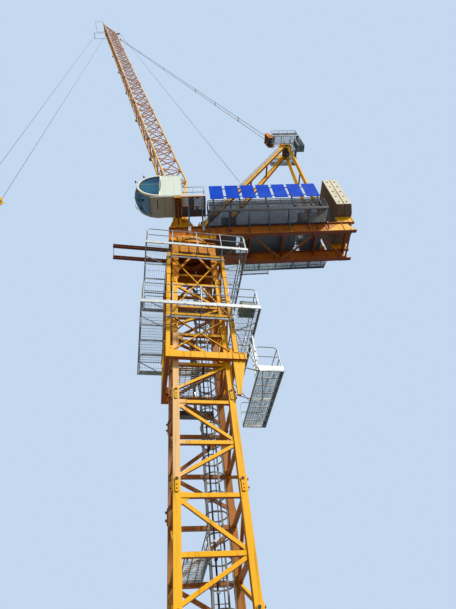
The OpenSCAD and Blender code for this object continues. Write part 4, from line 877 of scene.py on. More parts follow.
# painted shade: faces that look down or away from the sun are mixed toward a dark grey-brown
below = cream_cement.along((0, 0, -1), facing).rise(0.1, 0.9)
far_side = cream_cement.along((-0.9, 0.44, 0), facing).rise(0.0, 0.9)
stain = cream_cement.noise(50.0, 5.0, (1, 1, 0.12)).rise(0.5, 0.75)
tone = cream_cement.mix(cream_cement.noise(14.0, 5.0).rise(0.3, 0.7) * 0.6,
                        rgb(244, 238, 212), rgb(222, 210, 180))
tone = cream_cement.mix(stain * 0.3, tone, rgb(150, 124, 92))
tone = cream_cement.mix((below * 0.9 + far_side).rise(0.0, 0.9), tone, rgb(104, 86, 70))
cream_cement.set(Base_Color=tone, Roughness=0.72 + cream_cement.noise(90.0) * 0.2)
cream_cement.bump(cream_cement.noise(420.0, 4.0), 0.3, 0.0006)
slab_y, slab_low, slab_top, slab_t = 150, 2265, 2595, 40
slab_outline = [(-slab_y, slab_low + 30), (-110, slab_low), (110, slab_low), (slab_y, slab_low + 30),
                (slab_y, slab_top), (-slab_y, slab_top)]
loop_path = [(14, -2), (14, 5), (17, 8), (23, 8), (26, 5), (26, -2)]
slabs, recess_shade_and_bolts, loops = Shape(upper), Shape(upper), Shape(upper)
for x0 in (far_end - 42, far_end):
    mid = x0 + slab_t / 2
    slabs.plate(slab_outline, "x", x0, x0 + slab_t)
    for y in (-60, 60):
        loops.pipe([(x0 + dx, y, slab_top + dz) for dx, dz in loop_path], 2.6, 8)
    for s in (-1, 1):
        for z in (slab_low + 57 + 60 * i for i in range(5)):
            # a dark disc paints the shade inside each bolt recess
            recess_shade_and_bolts.turned((mid, s * (slab_y + 0.05), z), (0, s, 0), [(-2, 6.4), (0.15, 6.4)], 20)
            recess_shade_and_bolts.hexagon((mid, s * (slab_y + 0.1), z), (0, s, 0), 7, 1.4)
slabs.box((far_end - 42, -60, slab_low - 30), (far_end + slab_t, 60, slab_low + 6))
slabs.make("counterweight_slabs", cream_cement, "upper_works", "counterweights", edge=3.0)
recess_shade_and_bolts.make("slab_bolts", dark_paint, "upper_works")
loops.make("slab_lifting_loops", zinc, "upper_works")


# Sign panels
# Seven plain gloss blue sheet panels with folded edges, clipped to two rails that stand on
# brackets on the cab-side railing.
gloss_blue = Finish("gloss_blue", "blue_paint", Specular_IOR_Level=0.08)
fade = gloss_blue.noise(16.0, 4.0).rise(0.35, 0.75)
gloss_blue.set(Base_Color=gloss_blue.mix(fade * 0.6, rgb(0, 72, 214), rgb(0, 90, 218)),
               Roughness=0.4 + fade * 0.15)
gloss_blue.bump(gloss_blue.noise(26.0, 2.0), 0.2, 0.0012)
first_x, pitch, wide, sign_low, sign_top, sign_y = 112, 84, 70, 2322, 2472, -188
rail_levels = (2352, 2442)
panels, clips = Shape(upper), Shape(upper)
for x in (first_x + pitch * i for i in range(7)):
    end = x + wide
    panels.box((x, sign_y, sign_low), (end, sign_y + 1.4, sign_top))
    for x0, z0, x1, z1 in ((x, sign_low, end, sign_low + 3), (x, sign_top - 3, end, sign_top),
                           (x, sign_low, x + 3, sign_top), (end - 3, sign_low, end, sign_top)):
        panels.box((x0, sign_y + 0.5, z0), (x1, sign_y + 3.5, z1))
    for clip_x in (x + 12, x + 58):
        for z in rail_levels:
            clips.box((clip_x - 3, sign_y + 1.4, z - 4), (clip_x + 3, sign_y + 4, z + 4))
            clips.turned((clip_x, sign_y, z), (0, -1, 0), [(0, 2), (0.7, 1.4)], 12)
panels.make("sign_panels", gloss_blue, "upper_works", "sign_board", edge=0.5)
for z in rail_levels:
    clips.box((first_x, sign_y + 3.5, z - 2), (686, sign_y + 7, z + 2))
for x in (124 + 136.25 * i for i in range(5)):
    clips.box((x, sign_y + 3, 2230), (x + 5, sign_y + 8, 2444))
    for z in (2236, 2270, 2318):
        clips.box((x - 2, sign_y + 3, z), (x + 7, sign_y + 12.4, z + 3))
clips.make("sign_rails", worn_dark, "upper_works")


# A-frame
# Box-section legs in yellow paint, pinned to the turntable and the girders, meet in cheek plates
# on either side of the head axle.
finish_node(bright_yellow, "a_frame_front", "a_frame_rear")
head_x, head_z = 740, 3430
frame_pins, frame_plates = Shape(upper), Shape(upper)
for s in (-1, 1):
    for x in (50, 74):
        frame_plates.box((x - 2, s * 76 - 13, 2239), (x + 2, s * 76 + 13, 2262))
    frame_pins.turned((62, s * 90, 2250), (0, s, 0), [(-28, 5), (4, 5), (4.4, 4)], 20)
    frame_pins.turned((706, s * 88, 2221), (0, s, 0), [(-24, 4.4), (4, 4.4), (4.4, 3.6)], 20)
    for dx, dz in ((-40, -30), (-40, 30), (10, -30), (14, 34), (-14, 46)):
        frame_pins.hexagon((head_x + dx, s * 47, head_z + dz), (0, s, 0), 6, 2.4)
    leg_foot, leg_head = Vector((62, s * 76, 2229)), Vector((710, s * 44, 3410))
    for t in (0.28, 0.52, 0.74):
        p = leg_foot.lerp(leg_head, t) - Vector((0, s * 9.4, 0))
        frame_plates.turned(p, (0, s, 0), [(-4, 12), (0, 12)], 24)
frame_pins.make("a_frame_pins", dark_paint, "upper_works")
frame_plates.make("a_frame_plates", bright_yellow, "upper_works", edge=0.5)


# Head sheaves of the A-frame
# Three dark cast sheaves with a turned groove, side by side on a steel axle held by round end
# plates with four bolts each.
def sheave(shape, x, y, z, d, bore):
    """A rope sheave about the Y axis, a thin web between hub and rim, with a round groove in its rim."""
    r = d / 2
    shape.turned((x, y, z), (0, 1, 0), [(-6, r), (-4.6, r), (-1.6, r - 4), (1.6, r - 4), (4.6, r), (6, r),
                                        (6, r - 6), (1.6, r - 7.5), (1.6, bore + 5), (6, bore + 3.5),
                                        (6, bore), (-6, bore), (-6, bore + 3.5), (-1.6, bore + 5),
                                        (-1.6, r - 7.5), (-6, r - 6)], 48, closed=True)


cast = plain_coat("cast_iron", "yellow_paint", rgb(70, 66, 60), rgb(110, 92, 60), 0.5)
sheave_pitch, sheave_d = 22, 60
head_wheels = Shape(upper)
for i in (-1, 0, 1):
    sheave(head_wheels, head_x, i * sheave_pitch, head_z, sheave_d, 6)
head_wheels.turned((head_x, 0, head_z), (0, 1, 0), [(-47.5, 5.8), (47.5, 5.8)], 32)
for s in (-1, 1):
    head_wheels.turned((head_x, s * 49.4, head_z), (0, s, 0), [(-2, 10), (2, 10), (2.1, 7), (4, 6)], 32)
    for p in circle((head_x, s * 51.4, head_z), "y", 8.2, 4, 0.5):
        head_wheels.hexagon(p, (0, s, 0), 2.4, 1)
head_wheels.make("a_frame_sheaves", cast, "upper_works", "a_frame_head")


# Head platform and ladder
# A galvanised platform round the A-frame head with mesh railings, a rescue basket of round bar
# hung under its rear corner, and a ladder up the front leg whose stringers are in the lighter zinc that
# paints full sun.
high_z = 3455
beam_z = high_z - 3.5
high_deck, mesh_panels = Shape(upper), Shape(upper)
for s in (-1, 1):
    low, high = sorted((s * 52, s * 112))
    grating(mesh_panels, 634, 827, low + 2, high - 2, high_z, 4.0, 14.0, 3.0, True)
    for y in (low + 1.5, high - 1.5):
        high_deck.bar((633, y, beam_z), (828, y, beam_z), 3, 8)
    for x in (634.5, 826.5, 700, 770):
        high_deck.bar((x, low, beam_z), (x, high, beam_z), 3, 7)
    railing(high_deck, (636, s * 109, high_z), (825, s * 109, high_z), 3)
    wire_mesh(mesh_panels, (640, s * 107.4, high_z + 2), (181, 0, 0), (0, 0, 56), 44, 14, 0.9)
    for x in (head_x - 20, head_x + 20):
        high_deck.pipe([(x, s * 50, 3410), (x, s * 80, high_z - 3)], 5)
grating(mesh_panels, 780, 826, -52, 52, high_z, 4.0, 14.0, 3.0)
for y in (-52, 0, 52):
    high_deck.bar((778, y, beam_z), (828, y, beam_z), 3, 7)
high_deck.bar((779.5, -53, beam_z), (779.5, 53, beam_z), 3, 8)
railing(high_deck, (825, -109, high_z), (825, 109, high_z), 3)
wire_mesh(mesh_panels, (823.4, -105, high_z + 2), (0, 210, 0), (0, 0, 56), 50, 14, 0.9)
basket_low = 3262
basket = ((780, -110), (826, -110), (826, -62), (780, -62))
for x, y in basket:
    high_deck.pipe([(x, y, basket_low), (x, y, high_z - 3)], 4)
for h, across in ((2, 4), (40, 3), (80, 4), (134, 4)):
    high_deck.pipe([(x, y, basket_low + h) for x, y in basket], across, closed=True)
wire_mesh(mesh_panels, (780, -110, basket_low + 0.5), (46, 0, 0), (0, 48, 0), 14, 14, 1.4)
for (x0, y0), (x1, y1) in zip(basket, basket[1:] + basket[:1]):
    wire_mesh(mesh_panels, (x0, y0, basket_low + 2), (x1 - x0, y1 - y0, 0), (0, 0, 132), 14, 34, 0.9)
high_deck.make("high_deck", zinc, "upper_works", "head_platform")
mesh_panels.make("high_mesh", teal_zinc, "upper_works")
finish_node(sunlit_zinc, "a_frame_ladder")


# Cab
# A cream sheet-steel cab with a round nose. Blue-tinted glass curves from the roof round to the
# floor and fills the D-shaped side windows, set in a raised frame and black rubber.
cab_cream = site_paint("cab_cream", "cab_paint", rgb(238, 250, 236), rgb(232, 244, 228),
                       rgb(156, 152, 132), 0.12, 0.1)
finish_node(cab_cream, "cab_shell")
tint = Finish("blue_glass", "cab_glass", Specular_IOR_Level=0.7, IOR=1.45)
wash = tint.noise(9.0, 3.0).rise(0.3, 0.7)
tint.set(Base_Color=tint.mix(wash, rgb(10, 70, 128), rgb(36, 122, 156)),
         Roughness=0.04 + tint.noise(30.0) * 0.06, Alpha=0.62 + wash * 0.18)
# the cab's own frame: forward from its rear wall, across from its outer side, up from its floor
cab_at = upper @ Matrix.Translation((-36, -210, 2322)) @ Matrix.Diagonal((-1, 1, 1, 1))
cab_wide, cab_tall, nose_x, nose_z, glass_r, pane_r = 122, 250, 105, 125, 124, 111.8
rubber = plain_coat("window_rubber", "dark_steel", rgb(24, 26, 30), rgb(44, 46, 50), 0.6)


def nose(radius, degrees, y):
    """A point of the round nose, at an angle from level at the window's centre."""
    a = math.radians(degrees)
    return Vector((nose_x + radius * math.cos(a), y, nose_z + radius * math.sin(a)))


# the front pane, bulging most at its middle
panes = Shape(cab_at)
strips = 14
outside = []
for i in range(strips):
    y = 9.4 + 103.2 * i / (strips - 1)
    swell = 17 * (1 - ((y - 61) / 51.6) ** 2) ** 0.7 if 0 < i < strips - 1 else 0
    outside.append([nose(glass_r + swell * math.cos(math.radians(k * 1.35)), k, y)
                    for k in range(-62, 63, 4)])
inside = [[p - Vector((3, 0, 0)) for p in strip] for strip in reversed(outside)]
panes.loft(outside + inside, closed=True)
n = len(outside[0])
for k in (0, n - 1):
    panes.faces.append(tuple([i * n + k for i in range(strips)]
                             + [(2 * strips - 1 - i) * n + k for i in reversed(range(strips))]))
window = [(114.2, nose_z + 111.4), (114.2, nose_z - 111.4)]
window += [(p.x, p.z) for p in (nose(pane_r, k, 0) for k in range(-84, 85, 6))]
for y in (1, 118):
    panes.plate(window, "y", y, y + 3)
panes.make("blue_glass", tint, "upper_works", "cab_glass")
trim, seals, kit, rim = Shape(cab_at), Shape(cab_at), Shape(cab_at), Shape(cab_at)
for y, out in ((0, -1), (cab_wide, 1)):
    rim.loft([[nose(r, k, y + out * h) for r, h in ((113, 0), (113, 3), (123, 3.4), (124.6, 0))]
              for k in range(-88, 89, 4)])
    trim.bar((109, y + out * 0.6, 4), (109, y + out * 0.6, 246), 1.6, 8)
    seals.pipe([(115 - 7 * math.sin(math.pi * k / 12), y + out * 0.6, 15 + 220 * k / 12)
                for k in range(13)], 6, 8)
    seals.pipe([nose(111.4, k, y + out * 0.8) for k in range(-85, 86, 10)], 2, 8)
    trim.bar((113, y, 142), (216, y, 142), 2, 2)
    for x in (30, 76):
        trim.box((x, y, 8), (x + 2, y + out * 0.8, 243))
    for z in (6, 243):
        trim.box((2, y, z), (112, y + out * 0.9, z + 2))
for y in (9, 113):
    trim.pipe([nose(glass_r + 0.6, k, y) for k in range(-62, 63, 6)], 3, 8)
for k in (-62, 62):
    trim.pipe([nose(glass_r + 0.8, k, 9), nose(glass_r + 0.8, k, 113)], 3, 8)
for x0, x1, y0, y1, z in ((4, 104, 10, 112, cab_tall), (20, 70, 30, 92, cab_tall + 2)):
    trim.box((x0, y0, z - 1), (x1, y1, z + 2))
trim.make("cab_trim", cab_cream, "upper_works", edge=0.4)
white_frame = zinc_finish("window_frame", "cab_paint", rgb(255, 254, 240), rgb(236, 234, 212), 0.0, 0.2)
rim.pipe([(38, 5, 0), (40, 3, -3.5), (44, 2, -4.5), (150, 2, -4.5), (154, 3, -3.5), (156, 5, 0)], 6, 10)
rim.make("window_frames", white_frame, "upper_works")
seals.box((119, 22, -0.5), (123, 72, 0.4))
seals.box((158, 4, -0.2), (161, 118, 1.5))
for x in (6, 44, 84):
    seals.box((x, 6, -0.4), (x + 1, 116, 0.3))
seals.make("cab_seals", rubber, "upper_works")
# wipers on the pane, mirrors beside it and lamps at the roof's edge
for y, start in ((34, -46), (86, -40)):
    kit.pipe([nose(136, start, y), nose(142, start + 4, y), nose(144, start + 22, y + 14)], 2.6, 8)
    kit.pipe([nose(142, k, y + 14) for k in range(start + 6, start + 40, 6)], 2.2, 8)
    kit.turned(nose(128, start, y), nose(1, start, 0) - nose(0, start, 0), [(0, 5), (10, 5)], 16)
for k, y in ((48, -6), (14, -8), (-30, -4)):
    kit.pipe([nose(120, k, 2), nose(126, k, y), nose(132, k, y - 1)], 2.4, 8)
    kit.turned(nose(132, k, y - 1), (1, 0, 0), [(0, 4), (1, 7), (5, 7), (6, 3)], 18)
for y in (22, 100):
    kit.turned((176, y, 238), (1, 0, 0.2), [(0, 4), (2, 7), (9, 8), (9.5, 6)], 20)
    kit.pipe([(172, y, 226), (176, y, 238)], 2.4, 8)
kit.make("cab_wipers_mirrors", rubber, "upper_works")
fabric = plain_coat("seat_fabric", "dark_steel", rgb(38, 42, 52), rgb(64, 66, 72), 0.85, 200.0)
seat = Shape(cab_at)
seat.box((87, 39, 43), (130, 83, 52))
seat.box((82, 40, 50), (95, 82, 112))
seat.box((84, 48, 110), (93, 74, 128))
for y in (27, 95):
    seat.box((98, y - 8, 61), (148, y + 8, 66))
    seat.pipe([(138, y, 66), (138, y, 78)], 3, 8)
    seat.turned((138, y, 76), (0, 0, 1), [(0, 3), (4, 4), (8, 2)], 14)
seat.box((168, 84, 60), (171, 110, 84))
seat.pipe([(160, 97, 8), (169, 97, 62)], 3, 8)
seat.make("cab_interior", fabric, "upper_works", edge=2.0)
door = Shape(cab_at)
door.box((-1.8, 28, 110), (-1, 70, 196))
door.pipe([(-1, 69, 84), (-6, 69, 86), (-6, 69, 104), (-1, 69, 106)], 2, 8)
for z in (30, 180):
    door.pipe([(-2.2, 24, z), (-2.2, 24, z + 12)], 3, 8)
door.make("door_fittings", rubber, "upper_works")


# Cab balcony
# A balcony behind the cab: dark grating on beams in the girders' darker paint, which paints shade along
# with dirt, a galvanised tube railing and a toe board in the lighter zinc that paints full sun, with a
# fire bottle, tool box and lamp stowed on it.
floor_z, rear, front, outer, inner = 2322, -33, 85, -203, -94
balcony, floor_frame, floor_grid, toe_board, stowed = (Shape(upper) for _ in range(5))
grating(floor_grid, rear, front, outer, inner, floor_z, 2.6, 10.0, 3.0, True)
for x0, x1, y0, y1 in ((rear, 26, -150, inner), (2, 26, -202, -152), (28, 84, -130, -96)):
    floor_grid.box((x0, y0, floor_z - 4.6), (x1, y1, floor_z - 3.4))
for x in (rear - 0.5, 26, front + 0.5):
    floor_frame.bar((x, -206, floor_z - 4), (x, -92, floor_z - 4), 4, 7)
for y in (inner + 0.5, -150, outer - 1.5):
    floor_frame.bar((rear - 2, y, floor_z - 4), (front + 2, y, floor_z - 4), 3, 7)
floor_grid.make("balcony_grating", worn_dark, "upper_works")
floor_frame.make("balcony_beams", girder_shadow_and_dirt, "upper_works", edge=0.4)
rail_z = floor_z + 110
for z in (floor_z + 50, rail_z):
    balcony.pipe([(rear + 1, outer, z), (front - 1, outer, z), (front - 1, -98, z)], 3.6)
for x, y in ((rear + 1, outer), (26, outer), (front - 1, outer), (front - 1, -98)):
    balcony.pipe([(x, y, floor_z - 2), (x, y, rail_z)], 4)
for x in (-5, 65):
    balcony.box((x, -98, 2155), (x + 8, -92, floor_z - 2))
    balcony.pipe([(x + 4, -202, floor_z - 5), (x + 4, -95, 2252)], 5)
    balcony.box((x - 3, -99, 2160), (x + 11, -98, 2200))
balcony.make("balcony_frame", zinc, "upper_works", "cab_balcony")
toe_board.box((rear - 2, -206, floor_z), (front + 2, -204.6, floor_z + 14))
toe_board.box((front + 1, -206, floor_z), (front + 2, inner, floor_z + 14))
toe_board.make("balcony_toe_board", sunlit_zinc, "upper_works", edge=0.4)
stowed.box((-28, -130, floor_z), (4, -106, floor_z + 26))
stowed.turned((44, -118, floor_z), (0, 0, 1), [(0, 9), (34, 9), (40, 5), (46, 3.5)], 24)
stowed.pipe([(20, -150, floor_z), (34, -160, floor_z + 42), (46, -164, floor_z + 70)], 4, 8)
stowed.box((40, -170, floor_z + 66), (56, -158, floor_z + 82))
stowed.make("stowed_gear", rubber, "upper_works", edge=1.2)


# Jib
# Round tube chords, bleached by the sun towards the tip, with lacing welded between. The chords' paint is
# lighter to paint sunlight on them, the lacing's browner to paint shade.
# The sections are joined by dark pins in heavy collars.
jib_angle = math.radians(80.2)
jib_at = (upper @ Matrix.Translation((foot_x, 0, foot_z)) @ Matrix.Rotation(jib_angle, 4, "Y")
          @ Matrix.Rotation(math.pi, 4, "Z"))


def jib_paint(name, low, high, shaded):
    """The jib's yellow at its foot, fading to a paler paint with height."""
    paint = Finish(name, "faded_paint", Specular_IOR_Level=0.4)
    height = paint.along((0, 0, 1)).rise(2.6, 6.6)
    bleach = paint.noise(5.0, 4.0).rise(0.38, 0.66)
    colour = paint.mix(height, low, high)
    return weathered_and_shaded(paint, paint.mix(bleach * 0.3, colour, rgb(250, 222, 170)), shaded, 0.25, 0.3)


# painted light and shade: the chords' paint is lighter for the sun on them, the lacing's browner for its
# shade
sunlit_chord_paint = jib_paint("sunlit_chord_paint", rgb(255, 200, 70), rgb(255, 224, 170), rgb(206, 142, 78))
shaded_lacing_paint = jib_paint("shaded_lacing_paint", rgb(250, 172, 74), rgb(250, 206, 160), rgb(196, 128, 78))
# along the jib from its foot pins, with the chords at +-side and chord_z above them
panel, joint_in, chord_z, side = 186.0, 6.0, 145.0, 70.0
foot_end, section_long, head_start, tip = 1200, 930, 5850, 6850
jib_nodes = ("jib_foot", "jib_lower", "jib_upper", "jib_head")
chords = {node: Shape(jib_at) for node in jib_nodes}
lacing = {node: Shape(jib_at) for node in jib_nodes}
joint_pins = Shape(jib_at)


def chord(shape, *path):
    shape.pipe(path, 13, 14)


def lace(shape, *path):
    shape.pipe(path, 7, 10)


def chord_run(node, s0, s1, top0):
    """Three chords from s0 to s1, the upper one from top0, with the collars of the next joint."""
    for t in (-1, 1):
        chord(chords[node], (s0, t * side, 0), (s1, t * side, 0))
    chord(chords[node], (top0, 0, chord_z), (s1, 0, chord_z))
    for y, z in ((-side, 0), (side, 0), (0, chord_z)):
        chords[node].turned((s1 - 26, y, z), (1, 0, 0), [(0, 7), (3, 9.8), (23, 9.8), (26, 8)], 20)
        joint_pins.turned((s1 - 13, y, z), (0, 1, 0), [(-12.5, 3.6), (12.5, 3.6)], 14)
        joint_pins.turned((s1 - 13, y, z), (0, 0, 1), [(-11.5, 2.6), (11.5, 2.6)], 12)


def lacing_run(node, s0, n, first_side=0):
    """Lacing of n panels from s0: floor bars and diagonals, and sides from panel first_side on."""
    shape = lacing[node]
    for i in range(n):
        a = s0 + (i * panel or joint_in)
        b = s0 + (n * panel - joint_in if i == n - 1 else (i + 1) * panel)
        m, s = (a + b) / 2, 1 if i % 2 == 0 else -1
        lace(shape, (a, -s * side, 0), (b, s * side, 0))
        lace(shape, (a, -side, 0), (a, side, 0))
        if i >= first_side:
            for t in (-1, 1):
                lace(shape, (a, t * side, 0), (m, 0, chord_z))
                lace(shape, (m, 0, chord_z), (b, t * side, 0))
    end = s0 + n * panel - joint_in
    lace(shape, (end, -side, 0), (end, side, 0))


# the foot narrows from three chords to the two pin eyes
crest_s = 549
chord_run("jib_foot", 14, foot_end, crest_s)
lacing_run("jib_foot", 84, 6, 2)
foot = chords["jib_foot"]
for t in (-1, 1):
    chord(foot, (20, t * side, 0), (crest_s, 0, chord_z))
    foot.turned((0, t * side, 0), (0, 1, 0), [(-7, 13), (7, 13), (7, 6), (-7, 6)], 32, closed=True)
    foot.box((12, t * side - 7, -9), (32, t * side + 7, 9))
for k in range(5):
    node = "jib_lower" if k < 3 else "jib_upper"
    s = foot_end + section_long * k
    chord_run(node, s, s + section_long, s)
    lacing_run(node, s, 5)
    for t in (-1, 1):
        lace(lacing[node], (s + joint_in, t * side, 0), (s + joint_in, 0, chord_z))
    joint_pins.box((s - 34, -side - 15, -17), (s + 4, -side - 5, -4))
    joint_pins.box((s - 30, side + 5, -15), (s, side + 12, -5))
# the lug that the pendants pull on
lug, lug_s, lug_z = chords["jib_upper"], 5650, 167
for t in (-1, 1):
    lug.plate([(lug_s - 20, 141), (lug_s + 20, 141), (lug_s + 16, 172), (lug_s + 6, 176),
               (lug_s - 6, 176), (lug_s - 16, 172)], "y", t * 9 - 2, t * 9 + 2)
lug.box((lug_s - 20, -11, 141), (lug_s + 20, 11, 149))
joint_pins.turned((lug_s, 0, lug_z), (0, 1, 0), [(-14, 5.9), (-10.9, 5.9), (-10.8, 3.9), (10.8, 3.9),
                                                 (10.9, 5.9), (14, 5.9)], 24)
# the head falls from the knee to the tip rail, and its axle carries the sheaves
head, web = chords["jib_head"], lacing["jib_head"]
rail_s, knee_s, axle_s = 6843.5, 6300.0, 5990.0
brow_s, brow_z = rail_s + 127 * math.cos(jib_angle), -127 * math.sin(jib_angle)
chord(head, (head_start, 0, chord_z), (knee_s, 0, chord_z))
chord(head, (knee_s, 0, chord_z), (rail_s, 0, 0))
head.pipe([(rail_s, -side, 0), (rail_s, side, 0)], 10, 12)
for t in (-1, 1):
    chord(head, (head_start, t * side, 0), (tip, t * side, 0))
    lace(web, (head_start + joint_in, t * side, 0), (head_start + joint_in, 0, chord_z))
    head.plate([(5928, -6), (axle_s, -14), (6002, -6), (6002, 8), (axle_s, 14), (5928, 34)],
               "y", t * 46 - 2, t * 46 + 2)
    head.pipe([(rail_s, t * side, 0), (brow_s, t * 75, brow_z)], 4.5, 10)
    head.plate([(knee_s - 40, 138), (knee_s, 152), (knee_s + 40, 130)], "y", t * 3 - 1, t * 3 + 1)
head.pipe([(brow_s, -76, brow_z), (brow_s, 76, brow_z)], 4.5, 10)
for y, z in ((46, 26), (side, 0)):
    head.pipe([(5940, -y, z), (5940, y, z)], 12, 14)
head.box((5986, -4, 131), (6010, 32, 142))
for y in (13.5, 30.5):
    head.box((5986, y - 1.5, 131), (6010, y + 1.5, 178))
for i in range(5):
    a, m, b = (head_start + (i + share) * panel for share in (0, 0.5, 1))
    a = a if i else head_start + joint_in
    crest = chord_z * min(1, (rail_s - m) / (rail_s - knee_s))
    for t in (-1, 1):
        lace(web, (a, t * side, 0), (m, 0, crest))
        lace(web, (m, 0, crest), (b, t * side, 0))
    lace(web, (b, -side, 0), (b, side, 0))
    s = 1 if i % 2 == 0 else -1
    if i:
        lace(web, (a, -s * side, 0), (b, s * side, 0))
lace(web, (head_start + joint_in, -side, 0), (head_start + joint_in, side, 0))
for node in jib_nodes:
    chords[node].make(node + "_chords", sunlit_chord_paint, "jib", node)
    lacing[node].make(node + "_lacing", shaded_lacing_paint, "jib")
joint_pins.make("jib_joint_pins", dark_paint, "jib")


# Head sheaves of the jib
# Cast sheaves with turned grooves on a steel axle in the head section, and a smaller guide
# sheave in its bracket beside the upper chord.
wheel_iron = plain_coat("wheel_iron", "dark_steel", rgb(60, 60, 62), rgb(104, 96, 84), 0.45)
guide_s, guide_z, guide_d = 5998, 169, 44
tip_wheels = Shape(jib_at)
for y in (0, sheave_pitch):
    sheave(tip_wheels, axle_s, y, 0, sheave_d, 6)
sheave(tip_wheels, guide_s, sheave_pitch, guide_z, guide_d, 4)
tip_wheels.turned((axle_s, 0, 0), (0, 1, 0), [(-54, 5.8), (54, 5.8)], 28)
tip_wheels.turned((guide_s, sheave_pitch, guide_z), (0, 1, 0),
                  [(-14, 3.8), (-12, 6), (-10.4, 6), (-10.3, 3.8), (10.3, 3.8), (10.4, 6), (12, 6),
                   (14, 3.8)], 24)
for t in (-1, 1):
    tip_wheels.turned((axle_s, t * 50.4, 0), (0, t, 0), [(-2, 9), (2, 9), (2.1, 6), (3.4, 5)], 28)
tip_wheels.make("tip_sheaves", wheel_iron, "jib", "head_sheave")


# Pendants and luffing block
# Two galvanised bars in pinned lengths run down from the jib lug to an orange block with three
# sheaves, reeved with six falls of wire rope to the A-frame head.
lug_at = upper.inverted() @ jib_at @ Vector((lug_s, 0, lug_z))
pend_l = math.hypot(head_x - lug_at.x, lug_at.z - head_z)
block_s = pend_l - 310
wheels_s = block_s + 66
pend_at = (upper @ Matrix.Translation(lug_at)
           @ Matrix.Rotation(math.atan2(lug_at.z - head_z, head_x - lug_at.x), 4, "Y"))
stay_zinc = zinc_finish("stay_zinc", "galvanised_steel", rgb(232, 222, 200), rgb(176, 164, 142), 0.1, 0.4)
connectors = [share * block_s for share in (0.222, 0.444, 0.666, 0.777, 0.888)]
stays = Shape(pend_at)
stays.turned((0, 0, 0), (0, 1, 0), [(-6.4, 7), (6.4, 7), (6.4, 4), (-6.4, 4)], 28, closed=True)
stays.box((3, -6, -3.5), (22, 6, 3.5))
for t in (-1, 1):
    stays.pipe([(0, t * 4, 0), (block_s - 8.5, t * 14, 0)], 4.5, 12)
    for s in connectors:
        y = t * (4 + 10 * s / block_s)
        stays.pipe([(s - 16, y, 0), (s - 8, y, 0)], 6, 12)
        stays.pipe([(s + 8, y, 0), (s + 16, y, 0)], 6, 12)
        stays.box((s - 10, y - 2.6, -3.4), (s + 10, y + 2.6, 3.4))
        for ds in (-6, 6):
            stays.turned((s + ds, y, 0), (0, 1, 0), [(-4, 2), (4, 2)], 12)
for s in connectors:
    y = 4 + 10 * s / block_s
    stays.box((s - 4, -y, -1.5), (s + 4, y, 1.5))
stays.make("pendant_bars", stay_zinc, "pendant_line", "pendants")
orange = site_paint("orange_block", "yellow_paint", rgb(240, 140, 22), rgb(226, 150, 60),
                    rgb(128, 66, 26), 0.4, 0.6)
cheek_outline = [(-10, -12), (96, -30), (102, -16), (104, 0), (102, 16), (96, 30), (-10, 12)]
cheeks, block_wheels = Shape(pend_at), Shape(pend_at)
for t in (-1, 1):
    y = t * 36
    cheeks.plate([(block_s + ds, z) for ds, z in cheek_outline], "y", y - 2, y + 2)
    block_wheels.turned((wheels_s, y + t * 2, 0), (0, t, 0), [(0, 9), (2.4, 9), (3, 7)], 24)
    for ds, z in ((4, 0), (92, 18), (92, -18)):
        cheeks.turned((block_s + ds, y + t * 2, z), (0, t, 0), [(0, 4), (2, 4)], 16)
cheeks.box((block_s - 8, -36, -10), (block_s + 6, 36, 10))
cheeks.pipe([(block_s + 94, -36, 20), (block_s + 94, 36, 20)], 6, 12)
cheeks.make("luffing_cheeks", orange, "pendant_line", "luffing_block", edge=0.6)
for i in (-1, 0, 1):
    sheave(block_wheels, wheels_s, i * sheave_pitch, 0, sheave_d, 6)
block_wheels.turned((wheels_s, 0, 0), (0, 1, 0), [(-40, 6), (40, 6)], 28)
block_wheels.make("luffing_sheaves", wheel_iron, "pendant_line")


# Ropes
# Greased steel wire rope: six luffing falls, the hoist rope that climbs from its drum to the
# guide sheave and the jib head, and two falls that hang plumb to the hook block.
strand = Finish("laid_strands", "wire_rope", Metallic=0.5)
lay = strand.node("TexWave", {"wave_type": "BANDS", "bands_direction": "Z"},
                  {"Vector": strand.node("Mapping", {}, {"Vector": strand.place(),
                                                         "Rotation": (0.7, 0.5, 0.0)}),
                   "Scale": 160.0, "Distortion": 0.6})
strand.set(Base_Color=strand.mix(lay, rgb(46, 44, 42), rgb(96, 92, 86)), Roughness=0.5 + lay * 0.2)
strand.bump(lay, 0.5, 0.0006)
rope_d, luffing_rope_d, groove_r = 2.4, 2, 28.5
# the falls are made in two pieces, a short length of them close to the head
hand_over = pend_l - 60
for name, low, high, one, other, replaced in (
        ("falls_at_head", hand_over, hand_over + 10, "jib", "upper_works", []),
        ("falls_at_block", wheels_s, hand_over, "pendant_line", "jib", ["luffing_falls"])):
    falls = Shape(pend_at)
    for i in (-1, 0, 1):
        for z in (-27.3, 27.3):
            falls.pipe([(low, i * sheave_pitch, z), (high, i * sheave_pitch, z)], luffing_rope_d, 10)
    falls.make(name, strand, (other, one, pend_at @ Vector((high, 0, 0)),
                              pend_at @ Vector((low, 0, 0))), *replaced)
guide_mid, drum_mid = Vector((-904.43, 0, 8319.27)), Vector((hoist_x, 0, hoist_z))
slope = math.atan2(drum_mid.x - guide_mid.x, guide_mid.z - drum_mid.z)
off, beside = Vector((math.cos(slope), 0, math.sin(slope))), Vector((0, -sheave_pitch, 0))
rope_top = guide_mid + off * 20.5 + beside
rope_low = drum_mid - off * 29.5 + beside
climbing = Shape(upper)
climbing.pipe([rope_low, rope_top], rope_d, 12)
climbing.make("climbing_rope", strand, ("upper_works", "jib", upper @ rope_low, upper @ rope_top),
              "hoist_rope")
across = Shape(jib_at)
across_s = axle_s + groove_r
across.pipe([(across_s, sheave_pitch, guide_z), (across_s, sheave_pitch, 0)], rope_d, 12)
across.make("crossing_rope", strand, "jib")
tip_at = Vector((-1069.55, 0, 8282.59))
block_z, falls_apart = 2760.0, 160
